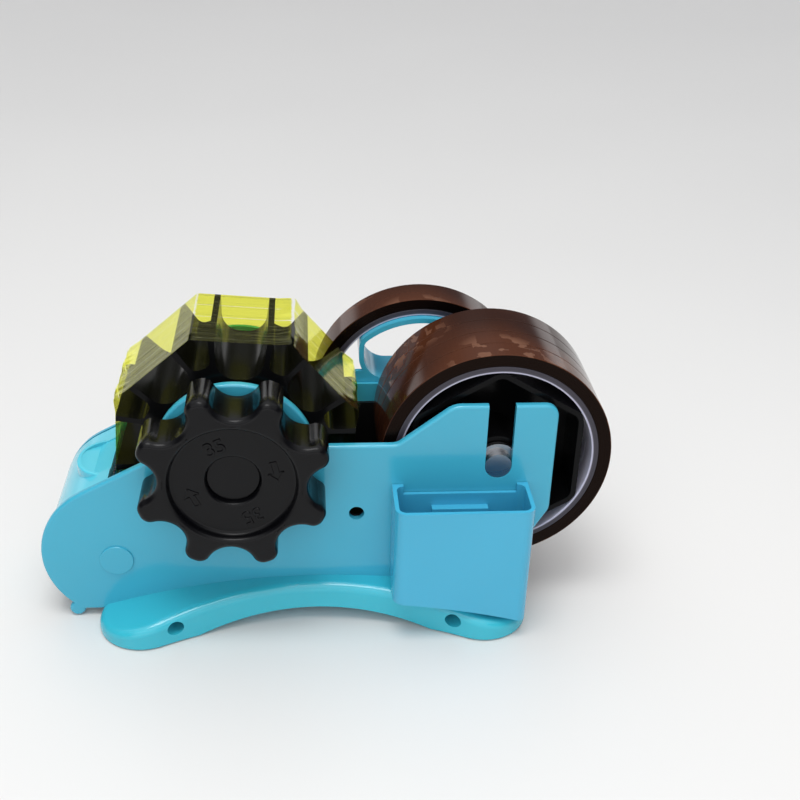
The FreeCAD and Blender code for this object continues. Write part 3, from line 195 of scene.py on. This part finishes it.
def moulded_plastic(name, colour, smoothest, roughest):
    """Glossy coloured plastic: slow drifts of tone, faint flow marks and a slightly uneven gloss."""
    material, surface, place = new_finish(name, IOR=1.49, Coat_Weight=0.15, Coat_Roughness=0.08)
    darker = tuple(part * 0.90 for part in colour)
    lighter = tuple(min(part * 1.07 + 0.004, 1.0) for part in colour)
    vary_colour(surface, place, 14.0, darker, lighter)
    vary_gloss(surface, place, 60.0, smoothest, roughest)
    roughen(surface, place, scale=700.0, strength=0.06, distance=0.0002)
    return material


def finish(thing, material):
    """Gives an object its one material."""
    thing.data.materials.clear()
    thing.data.materials.append(material)


def dress(material, *nodes):
    """Gives CAD nodes a material."""
    for node in nodes:
        finish(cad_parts[node], material)


teal_plastic = moulded_plastic("teal_plastic", linear(64, 175, 204), smoothest=0.12, roughest=0.20)
dress(teal_plastic, "near_side_wall", "far_side_wall")

# ---------------------------------------------------------------- inner frame
# A black channel of satin plastic stands between the walls and keeps them apart.
# Its crossbars take the screws that hold the feet. The bushes in the walls are of the same plastic.
frame_black, surface, place = new_finish("frame_black", Specular_IOR_Level=0.25)
vary_colour(surface, place, 30.0, linear(9, 9, 11), linear(19, 19, 22))
vary_gloss(surface, place, 90.0, smoothest=0.34, roughest=0.49)
roughen(surface, place, scale=1500.0, strength=0.15, distance=0.0002)
dress(frame_black, "inner_frame", "axle_bushes")

# ---------------------------------------------------------------- feet
# Two waisted feet, moulded apart from the walls in a slightly greener teal, are screwed to them from outside.
# Dark rubber pads sit in their lobes, and the screws are of plated steel.
# The feet's teal is painted lighter than the walls' as painted light, for the stronger light on their tops.
foot_plastic = moulded_plastic("foot_plastic", linear(56, 187, 208), smoothest=0.12, roughest=0.20)
dress(foot_plastic, "near_foot", "far_foot")

pad_rubber, surface, place = new_finish("pad_rubber", IOR=1.5)
vary_colour(surface, place, 120.0, linear(24, 24, 25), linear(44, 44, 45))
vary_gloss(surface, place, 300.0, smoothest=0.68, roughest=0.83, detail=2.0)
roughen(surface, place, scale=2500.0, strength=0.4, distance=0.0002)
dress(pad_rubber, "foot_pads")

plated_steel, surface, place = new_finish("plated_steel", Metallic=1.0)
vary_colour(surface, place, 200.0, linear(150, 151, 153), linear(196, 197, 198))
vary_gloss(surface, place, 500.0, smoothest=0.24, roughest=0.42)
roughen(surface, place, scale=3000.0, strength=0.12, distance=0.0001)
dress(plated_steel, "foot_screws", "holder_screws", "clamp_screws", "knob_screw", "axle_clip",
      "cutter_spring")

# ---------------------------------------------------------------- hinge, nose cover and cutter
# The cover rocks on a steel pin through the noses of the walls, and its ends wear teal caps.
# A steel bar clamps the toothed blade under the cover's upper edge.
dress(teal_plastic, "pivot_caps")
# The cover's teal is painted lighter than the walls' as painted light, for the light and reflection on its
# rounded front.
cover_teal_painted_lighter = moulded_plastic("cover_teal_painted_lighter", linear(88, 204, 226), smoothest=0.12, roughest=0.20)
dress(cover_teal_painted_lighter, "nose_cover")


def stretched(place, scale):
    """Coordinates that are stretched along each axis by its part of scale."""
    return Wire.node(place.socket.id_data, "ShaderNodeMapping", {}, {"Vector": place, "Scale": scale})


def turned_steel(name, scale):
    """Ground steel whose fine lines run along the axes whose part of scale is small."""
    material, surface, place = new_finish(name, Metallic=1.0)
    lines = noise(stretched(place, scale), 900.0, 4.0)
    blend_colours(lines, linear(140, 142, 146), linear(202, 203, 205)).feed(surface.inputs["Base Color"])
    (lines * 0.22 + 0.16).feed(surface.inputs["Roughness"])
    return material


dress(turned_steel("shaft_steel", (0.05, 1.0, 0.05)), "pivot_pin", "drum_axle", "reel_axle")
dress(turned_steel("blade_steel", (1.0, 0.04, 1.0)), "cutter_blade", "blade_clamp")

# ---------------------------------------------------------------- cutting drum
# The octagonal drum is one moulding of hard glossy black plastic, pressed on a steel axle.
# Film hangs from fin to fin over its pockets. The rolls' hub is of the same plastic.
drum_black, surface, place = new_finish("drum_black", Specular_IOR_Level=0.1)
vary_colour(surface, place, 40.0, linear(7, 7, 8), linear(15, 15, 16))
vary_gloss(surface, place, 80.0, smoothest=0.14, roughest=0.24)
roughen(surface, place, scale=800.0, strength=0.08, distance=0.0002)
dress(drum_black, "cutting_drum", "reel_hub")

# ---------------------------------------------------------------- film on the drum
# Four strips of clear yellow film lie on each facet, as long as the cut.
# The blade leaves their ends ragged, and most of them curl a little away from the drum.
drum_axis = Vector((-0.0336, 0.0, 0.0720))
drum_turn = math.radians(4.35)
facets = 8
facet_out = 0.04345
lanes = 4
strip_long = 0.0359
strip_wide = 0.00985
strip_pitch = 0.01025
film_gap = 0.00005
film_thick = 0.00008


def rise(value, low, high):
    """0 up to low and 1 from high on, and straight between them."""
    return Wire.node(value.socket.id_data, "ShaderNodeMapRange", {"clamp": True},
                     {"Value": value, "From Min": low, "From Max": high})


def fine_lines(value, scale, detail):
    """Random lines that follow the places where value is the same."""
    return Wire.node(value.socket.id_data, "ShaderNodeTexNoise", {"noise_dimensions": "1D"},
                     {"W": value, "Scale": scale, "Detail": detail})


def clear_film(name, tint):
    """Thin clear film: each face tints what is behind it and mirrors more the flatter it is seen."""
    material, surface, place = new_finish(name, Metallic=1.0)
    tree = material.node_tree
    drift = noise(place, 90.0, 3.0)
    blend_colours(drift, (0.90, 0.90, 0.80), (0.98, 0.98, 0.90)).feed(surface.inputs["Base Color"])
    (drift * 0.08 + 0.05).feed(surface.inputs["Roughness"])
    roughen(surface, stretched(place, (1.0, 6.0, 1.0)), scale=90.0, strength=0.22, distance=0.0006)
    # Bright creases run along the film, a little unsteadily across it
    across = place.part(1) + drift * 0.0008
    creases = rise(fine_lines(across, scale=700.0, detail=2.0), 0.60, 0.66)
    # Facing is the same on both faces of a thin sheet, so this is its mirror share at every angle
    facing = Wire.node(tree, "ShaderNodeLayerWeight", {}, {"Blend": 0.5}, out="Facing")
    mirror_share = facing ** 5.0 * 0.90 + creases * facing * 0.30 + 0.02
    clear = Wire.node(tree, "ShaderNodeBsdfTransparent", {}, {"Color": (*tint, 1.0)})
    both = Wire.node(tree, "ShaderNodeMixShader", {},
                     {0: mirror_share, 1: clear, 2: Wire(surface.outputs[0])})
    both.feed(tree.nodes["Material Output"].inputs["Surface"])
    return material


yellow_film = clear_film("yellow_film", (0.985, 0.985, 0.345))


def only(thing):
    """Makes one object the selected and active one."""
    bpy.ops.object.select_all(action="DESELECT")
    thing.select_set(True)
    bpy.context.view_layer.objects.active = thing


def pick(thing, kind, wanted):
    """In edit mode, selects the vertices, edges or faces whose centre passes wanted()."""
    bpy.ops.object.mode_set(mode="EDIT")
    bpy.ops.mesh.select_mode(type=kind)
    bpy.ops.mesh.select_all(action="DESELECT")
    bpy.ops.object.mode_set(mode="OBJECT")
    mesh = thing.data
    rows = {"VERT": mesh.vertices, "EDGE": mesh.edges, "FACE": mesh.polygons}[kind]
    for row in rows:
        if kind == "VERT":
            middle = row.co
        else:
            middle = sum((mesh.vertices[i].co for i in row.vertices), Vector()) / len(row.vertices)
        row.select = wanted(middle)
    bpy.ops.object.mode_set(mode="EDIT")


def settle():
    """Leaves edit mode and moves the object's place, turn and size into its mesh."""
    bpy.ops.object.mode_set(mode="OBJECT")
    bpy.ops.object.transform_apply(location=True, rotation=True, scale=True)


def use_modifier(thing, kind, **settings):
    """Adds a modifier to an object and applies it."""
    only(thing)
    modifier = thing.modifiers.new(kind.lower(), kind)
    for name, value in settings.items():
        setattr(modifier, name, value)
    bpy.ops.object.modifier_apply(modifier=modifier.name)


def join(things, name):
    """Makes one piece of several objects."""
    only(things[0])
    for thing in things:
        thing.select_set(True)
    bpy.ops.object.join()
    joined = bpy.context.object
    joined.name = name
    settle()
    return joined


def film_strip(seed, lifts, shorts=(0.0, 0.0)):
    """One cut strip, flat on the floor plane, with ragged ends.

    lifts and shorts say how far its -X and +X ends curl up and how far they stop short.
    """
    teeth = 16
    tooth_wide = strip_wide / teeth
    tooth_tip, tooth_root, uneven = 0.0002, -0.0006, 0.0003
    near_end, curled = 0.00001, 0.0012
    curl_long, twist_long, twist_share = 0.0045, 0.0040, 0.6
    dice = random.Random(seed)
    bpy.ops.mesh.primitive_grid_add(x_subdivisions=14, y_subdivisions=teeth, size=1.0)
    strip = bpy.context.object
    strip.scale = (strip_long, strip_wide, 1.0)
    settle()
    for end, lift, short in zip((-1, 1), lifts, shorts):
        for tooth in range(teeth + 1):
            side = -strip_wide / 2 + tooth * tooth_wide
            pick(strip, "VERT", lambda co: co.x * end > strip_long / 2 - near_end
                 and abs(co.y - side) < tooth_wide / 3)
            reach = (tooth_tip if tooth % 2 else tooth_root) + dice.uniform(-uneven, 0.0) - short
            bpy.ops.transform.translate(value=(end * reach, 0.0, 0.0))
        higher_side = dice.choice((-1, 1))
        pick(strip, "VERT", lambda co: co.x * end > strip_long / 2 - curled)
        bpy.ops.transform.translate(value=(0.0, 0.0, lift), use_proportional_edit=True,
                                    proportional_size=curl_long)
        pick(strip, "VERT", lambda co: co.x * end > strip_long / 2 - curled and co.y * higher_side > 0)
        bpy.ops.transform.translate(value=(0.0, 0.0, lift * twist_share), use_proportional_edit=True,
                                    proportional_size=twist_long)
    bpy.ops.object.mode_set(mode="OBJECT")
    return strip


# Ends by the top corner of the drum, on facets 0 and 7, lie flat, so that nothing stands above it.
# Those where the blade comes down, between facets 5 and 6, have just been cut back and lie flat too.
high, low, hardly = 0.0006, 0.0004, 0.00003
worn, cut_back = 0.0003, 0.0006
common_strips = [film_strip(seed, (high, low), (worn, worn)) for seed in range(4)]
facet_strips = {
    0: [film_strip(4, (0.0, high)), film_strip(5, (0.0, low))],
    7: [film_strip(6, (high, hardly)), film_strip(7, (low, hardly))],
    5: [film_strip(8, (high, 0.0), (0.0, cut_back)), film_strip(9, (low, 0.0), (0.0, cut_back))],
    6: [film_strip(10, (0.0, high), (cut_back, 0.0)), film_strip(11, (0.0, low), (cut_back, 0.0))],
}
most_askew = 0.35
askew = random.Random(20)
strips = []
for facet in range(facets):
    for lane in range(lanes):
        if facet in facet_strips:
            pattern = facet_strips[facet][lane % 2]
            turned = 0.0
        else:
            pattern = common_strips[(facet * 5 + lane * 3) % len(common_strips)]
            turned = math.pi * ((facet + lane) % 2)
        turned += math.radians(askew.uniform(-most_askew, most_askew))
        strip = pattern.copy()
        strip.data = pattern.data.copy()
        bpy.context.scene.collection.objects.link(strip)
        across = (lane - (lanes - 1) / 2) * strip_pitch
        strip.matrix_world = (Matrix.Translation(drum_axis)
                              @ Matrix.Rotation(facet * math.tau / facets + drum_turn, 4, "Y")
                              @ Matrix.Translation((0.0, across, facet_out + film_gap))
                              @ Matrix.Rotation(turned, 4, "Z"))
        strips.append(strip)
for pattern in common_strips + sum(facet_strips.values(), []):
    bpy.data.objects.remove(pattern)
film_on_drum = join(strips, "film_on_drum")
use_modifier(film_on_drum, "SOLIDIFY", thickness=film_thick, offset=0.0)
bpy.ops.object.shade_smooth_by_angle(angle=math.radians(40))
finish(film_on_drum, yellow_film)
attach(film_on_drum, "drum")
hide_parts("tape_strips")

# ---------------------------------------------------------------- hand knob
# An eight-lobed knob of satin black plastic turns the drum, and a cap hides the screw in its eye.
# The cut length is moulded on its dished face, with arrows that show which way to turn it.
# The edges of its dish and eye are soft, as a moulding's are.
knob_black, surface, place = new_finish("knob_black", Specular_IOR_Level=0.20)
vary_colour(surface, place, 35.0, linear(4, 4, 6), linear(9, 9, 12))
vary_gloss(surface, place, 160.0, smoothest=0.20, roughest=0.30)
roughen(surface, place, scale=2200.0, strength=0.10, distance=0.0002)
dress(knob_black, "knob_cap")

knob_face = -0.0465
dish_floor = knob_face + 0.0040
dish_radius = 0.0226
eye_radius = 0.0097
welded = 0.000001
level_within = 0.00001
chord_dip = 0.00002

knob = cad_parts["hand_knob"].copy()
knob.data = knob.data.copy()
knob.name = "moulded_knob"
knob.parent = None
knob.matrix_world = Matrix()
bpy.context.scene.collection.objects.link(knob)
only(knob)
bpy.ops.object.mode_set(mode="EDIT")
bpy.ops.mesh.select_all(action="SELECT")
bpy.ops.mesh.remove_doubles(threshold=welded)
# Each round edge is found by its chords, whose middles lie just inside its radius
for radius, edge_y, soft in ((dish_radius, dish_floor, 0.0015), (dish_radius, knob_face, 0.0019),
                             (eye_radius, dish_floor, 0.0013)):
    pick(knob, "EDGE", lambda co: abs(co.y - edge_y) < level_within
         and radius - chord_dip < math.hypot(co.x - drum_axis.x, co.z - drum_axis.z) < radius)
    bpy.ops.mesh.bevel(offset=soft, offset_type="OFFSET", segments=5, affect="EDGES")
bpy.ops.object.mode_set(mode="OBJECT")
bpy.ops.object.shade_smooth_by_angle(angle=math.radians(35))
finish(knob, knob_black)
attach(knob, "drum")
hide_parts("hand_knob")


def stand_mark(mark, turn, out):
    """Stands a mark that lies flat up in the knob's dish, at a clock angle and a distance from its middle."""
    sunk = 0.00005
    mark.matrix_world = (Matrix.Translation(drum_axis + Vector((0.0, dish_floor + sunk, 0.0)))
                         @ Matrix.Rotation(math.radians(turn), 4, "Y") @ Matrix.Translation((0.0, 0.0, out))
                         @ Matrix.Rotation(math.pi / 2, 4, "X"))
    return mark


# Both kinds of mark stand at clock angles in degrees, at a distance from the knob's middle
marks = []
for turn, out in ((-23.0, 0.0146), (157.0, 0.0160)):
    bpy.ops.object.text_add()
    number = bpy.context.object
    number.data.body = "35"
    number.data.size = 0.0078
    number.data.extrude = 0.00030
    number.data.bevel_depth = 0.00012
    number.data.bevel_resolution = 0
    number.data.align_x = "CENTER"
    number.data.align_y = "CENTER"
    bpy.ops.object.convert(target="MESH")
    marks.append(stand_mark(bpy.context.object, turn, out))

shaft_long = 0.0048
shaft_wide = 0.0026
shaft_middle = -0.0016
head_flare = 2.3
head_long = 0.0034
head_tip = 0.04
line_wide = 0.00055
line_high = 0.00035
for turn, out in ((76.0, 0.0154), (245.0, 0.0160)):
    bpy.ops.mesh.primitive_plane_add(size=1.0, location=(shaft_middle, 0.0, 0.0))
    arrow = bpy.context.object
    arrow.scale = (shaft_long, shaft_wide, 1.0)
    settle()
    # The shaft's end grows the head, flared at its back and narrow at its tip
    pick(arrow, "EDGE", lambda co: co.x > shaft_middle + shaft_long / 2 - 0.0001)
    bpy.ops.mesh.extrude_edges_move()
    bpy.ops.transform.resize(value=(1.0, head_flare, 1.0))
    bpy.ops.mesh.extrude_edges_move(TRANSFORM_OT_translate={"value": (head_long, 0.0, 0.0)})
    bpy.ops.transform.resize(value=(1.0, head_tip, 1.0))
    bpy.ops.mesh.select_all(action="SELECT")
    bpy.ops.mesh.remove_doubles(threshold=0.0002)
    bpy.ops.mesh.normals_make_consistent(inside=False)
    # Only the line round it stays, and is raised
    bpy.ops.mesh.select_mode(type="FACE")
    bpy.ops.mesh.select_all(action="SELECT")
    bpy.ops.mesh.inset(thickness=line_wide, use_even_offset=True)
    bpy.ops.mesh.delete(type="FACE")
    bpy.ops.mesh.select_all(action="SELECT")
    bpy.ops.mesh.extrude_region_move(TRANSFORM_OT_translate={"value": (0.0, 0.0, line_high)})
    bpy.ops.mesh.select_all(action="SELECT")
    bpy.ops.mesh.normals_make_consistent(inside=False)
    settle()
    marks.append(stand_mark(arrow, turn, out))

knob_marks = join(marks, "knob_marks")
finish(knob_marks, knob_black)
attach(knob_marks, "drum")

# ---------------------------------------------------------------- rolls
# Four rolls of brown heat-proof film, each on a core of pale board, sit on the hexagonal hub.
# Their sides show the layers as fine rings. Outside, paler trapped-air patches are partly painted sheen, and
# slow drifts are painted reflection.
reel_axis = Vector((0.0640, 0.0, 0.0657))
rolls = 4
roll_pitch = 0.01025
roll_wide = 0.0100
core_in = 0.0366
core_out = 0.0393
wound_out = 0.0442
core_edge = 0.0003
wound_edge = 0.0002
seam = 0.00002


def band(name, inner, outer, middle, edge, wide=roll_wide):
    """A ring about Y with softened edges: a cylinder, its ends inset, their middles cut out and bridged."""
    sides = 128
    near = 0.00001
    bpy.ops.mesh.primitive_cylinder_add(vertices=sides, radius=outer, depth=wide, end_fill_type="NGON")
    ring = bpy.context.object
    ring.name = name
    pick(ring, "FACE", lambda co: abs(co.z) > wide / 2 - near)
    bpy.ops.mesh.inset(thickness=(outer - inner) * math.cos(math.pi / sides), use_even_offset=True)
    bpy.ops.mesh.delete(type="ONLY_FACE")
    pick(ring, "EDGE", lambda co: abs(co.z) > wide / 2 - near and co.xy.length < inner + near)
    bpy.ops.mesh.bridge_edge_loops()
    bpy.ops.mesh.select_all(action="SELECT")
    bpy.ops.mesh.normals_make_consistent(inside=False)
    settle()
    ring.matrix_world = Matrix.Translation(middle) @ Matrix.Rotation(math.pi / 2, 4, "X")
    settle()
    use_modifier(ring, "BEVEL", width=edge, segments=2, limit_method="ANGLE", angle_limit=math.radians(50))
    bpy.ops.object.shade_smooth_by_angle(angle=math.radians(20))
    return ring


def ring_coordinates(place, axis):
    """How far a point is from a roll's axis, how far round it is, and how far along, in metres."""
    moved = Wire.node(place.socket.id_data, "ShaderNodeVectorMath", {"operation": "SUBTRACT"},
                      {0: place, 1: tuple(axis)})
    x, y, z = (moved.part(axis_number) for axis_number in range(3))
    far = (x * x + z * z).root()
    around = x.maths("ARCTAN2", x, z) * wound_out
    return far, around, y


def wound_film(name, axis, outer):
    """Dark sides of fine layers, and a brown outside with slow darker and lighter drifts of painted
    reflection and paler patches of trapped air that are partly painted sheen.
    """
    material, surface, place = new_finish(name, Specular_IOR_Level=0.10, Specular_Tint=(1.0, 0.52, 0.36, 1.0),
                                          Coat_Roughness=0.09)
    tree = material.node_tree
    far, around, along = ring_coordinates(place, axis)
    layers = fine_lines(far, scale=5200.0, detail=4.0)
    skin = 0.0003
    outside = far.above(outer - skin)

    # Square cells of trapped air, in broad drifts round the outside; their paler colour is partly painted
    # sheen
    wavy = around + noise(place, 60.0) * 0.004
    flat = Wire.node(tree, "ShaderNodeCombineXYZ", {}, {0: wavy, 1: along, 2: 0.0})
    cells = Wire.node(tree, "ShaderNodeTexVoronoi", {"distance": "CHEBYCHEV", "feature": "F1"},
                      {"Vector": flat, "Scale": 240.0, "Randomness": 0.9}, out="Color")
    air_and_painted_sheen = cells.part(0).above(0.66) * rise(noise(flat, 24.0, 1.0), 0.52, 0.64)

    side = blend_colours(layers, linear(3, 2, 2), linear(13, 9, 8))
    # Painted reflection: the outside drifts between a darker brown, which stands in for the mirrored black
    # drum, and a lighter sheen.
    painted_dark_reflection = blend_colours(layers, linear(42, 21, 13), linear(60, 33, 21))
    painted_sheen = blend_colours(layers, linear(70, 36, 21), linear(92, 54, 35))
    wound = blend_colours(rise(noise(flat, 16.0, 1.0), 0.40, 0.58), painted_dark_reflection, painted_sheen)
    # The paler colour of the trapped-air patches is partly painted sheen.
    face = blend_colours(air_and_painted_sheen, wound, linear(114, 77, 58))
    blend_colours(outside, side, face).feed(surface.inputs["Base Color"])
    gloss = (1.0 - outside) * 0.16 + layers * 0.08 + 0.08 + air_and_painted_sheen * outside * 0.14
    gloss.feed(surface.inputs["Roughness"])
    (layers * 0.06 + outside * 0.20).feed(surface.inputs["Coat Weight"])
    height = layers * (1.0 - outside) * 0.6 + air_and_painted_sheen * outside
    emboss(surface, height, strength=0.25, distance=0.0002)
    return material


def core_board(name, axis):
    """Pale lavender board along its inner edge, painted dark grey towards the film as painted shade."""
    material, surface, place = new_finish(name, IOR=1.45)
    far = ring_coordinates(place, axis)[0]
    plies = fine_lines(far, scale=2600.0, detail=2.0)
    inner = blend_colours(plies, linear(178, 176, 200), linear(212, 210, 226))
    # Painted shade: the face is pale only in a narrow ring at the hole and nearly black beyond it.
    outer = blend_colours(plies, linear(42, 39, 46), linear(66, 62, 74))
    edge = rise(far + plies * 0.0004, core_in + 0.0005, core_in + 0.0011)
    blend_colours(edge, inner, outer).feed(surface.inputs["Base Color"])
    vary_gloss(surface, place, 400.0, smoothest=0.35, roughest=0.50, detail=2.0)
    roughen(surface, place, scale=1800.0, strength=0.1, distance=0.0002)
    return material


brown_film = wound_film("brown_film", reel_axis, wound_out)
pale_core = core_board("pale_core", reel_axis)


def fit_ring(ring, material, body, node):
    """Gives a ring its material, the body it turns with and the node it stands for."""
    finish(ring, material)
    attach(ring, body)
    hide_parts(node)


for roll in range(1, rolls + 1):
    middle = reel_axis + Vector((0.0, (roll - (rolls + 1) / 2) * roll_pitch, 0.0))
    core = band("roll_core_%d" % roll, core_in, core_out, middle, core_edge)
    fit_ring(core, pale_core, "reel", "tape_core_%d" % roll)
    film = band("roll_film_%d" % roll, core_out + seam, wound_out, middle, wound_edge)
    fit_ring(film, brown_film, "reel", "tape_wound_%d" % roll)

# ---------------------------------------------------------------- film from the rolls to the drum
# Four lengths of the same clear film leave the rolls underneath and run to the underside of the drum.
# They are too thin to need more than their colour.
dress(yellow_film, "tape_web")

# ---------------------------------------------------------------- spare roll and its hoop
# A half-moon hoop of teal plastic is screwed to the far wall, and a fifth roll hangs on its round top.
# The hoop is open from end to end.
dress(teal_plastic, "spare_roll_holder")
spare_axis = Vector((0.0389, 0.03615, 0.0666))
spare_wide = 0.0155
spare_out = 0.0436
spare_core = band("spare_roll_core", core_in + seam, core_out, spare_axis, core_edge, spare_wide)
spare_pale_core = core_board("spare_pale_core", spare_axis)
fit_ring(spare_core, spare_pale_core, "spare_roll", "spare_core")
spare_film = band("spare_roll_film", core_out + seam, spare_out, spare_axis, wound_edge, spare_wide)
spare_brown_film = wound_film("spare_brown_film", spare_axis, spare_out)
fit_ring(spare_film, spare_brown_film, "spare_roll", "spare_tape")

# ---------------------------------------------------------------- pen box
# An open box of the same plastic in a brighter tint slides down over the rail of the near wall.
# It is lifted off to be emptied.
box_plastic = moulded_plastic("box_plastic", linear(66, 175, 211), smoothest=0.14, roughest=0.22)
dress(box_plastic, "pen_box")

# ---------------------------------------------------------------- desk and light
# The cutter stands on a wide white desk top with a soft sheen, which takes its shadow.
# The room is white overhead and at eye level, with a dim band between and dim ends for gloss to mirror.
# Three broad soft lamps light it: one overhead, a stronger one above the knob side, and one in front.
desk, surface, place = new_finish("desk_white", IOR=1.45)
vary_colour(surface, place, 2.0, linear(226, 225, 223), linear(231, 230, 228))
vary_gloss(surface, place, 6.0, smoothest=0.32, roughest=0.42, detail=2.0)
bpy.ops.mesh.primitive_plane_add(size=12.0, location=(0.0, 2.0, -0.0001))
desk_top = bpy.context.object
desk_top.name = "desk_top"
finish(desk_top, desk)

world = bpy.data.worlds.new("soft_room")
bpy.context.scene.world = world
world.use_nodes = True
room = world.node_tree
background = room.nodes["Background"]
dim = linear(84, 85, 90)
heights = [(0.0, linear(238, 238, 239)), (0.12, linear(229, 228, 229)), (0.19, dim), (0.42, dim),
           (0.60, linear(214, 215, 218)), (0.85, linear(248, 249, 250))]
outward = Wire.node(room, "ShaderNodeTexCoord", {}, {}, out="Generated")
shade = Wire.node(room, "ShaderNodeValToRGB", {"stops": heights}, {"Fac": outward.part(2)})
sideways = outward.part(0)
ends = rise(sideways * sideways, 0.25, 0.60) * 0.75
blend_colours(ends, shade, dim).feed(background.inputs["Color"])
background.inputs["Strength"].default_value = 1.30


def soft_lamp(name, place, aim, size, watts):
    """A rectangular lamp at a place, turned to its aim."""
    data = bpy.data.lights.new(name, "AREA")
    data.shape = "RECTANGLE"
    data.size, data.size_y = size
    data.energy = watts
    lamp = bpy.data.objects.new(name, data)
    lamp.matrix_world = (Matrix.Translation(place)
                         @ (Vector(aim) - Vector(place)).to_track_quat("-Z", "Y").to_matrix().to_4x4())
    bpy.context.scene.collection.objects.link(lamp)


soft_lamp("overhead_lamp", place=(-0.05, 0.15, 1.60), aim=(0.0, 0.1, 0.05), size=(1.0, 0.75), watts=0.8)
soft_lamp("key_lamp", place=(-0.10, -0.28, 1.20), aim=(0.0, 0.0, 0.05), size=(0.60, 0.45), watts=5.2)
soft_lamp("front_lamp", place=(-0.2, -1.2, 0.6), aim=(0.0, 0.0, 0.05), size=(1.6, 1.2), watts=5.0)
bpy.context.scene.view_settings.view_transform = "Standard"

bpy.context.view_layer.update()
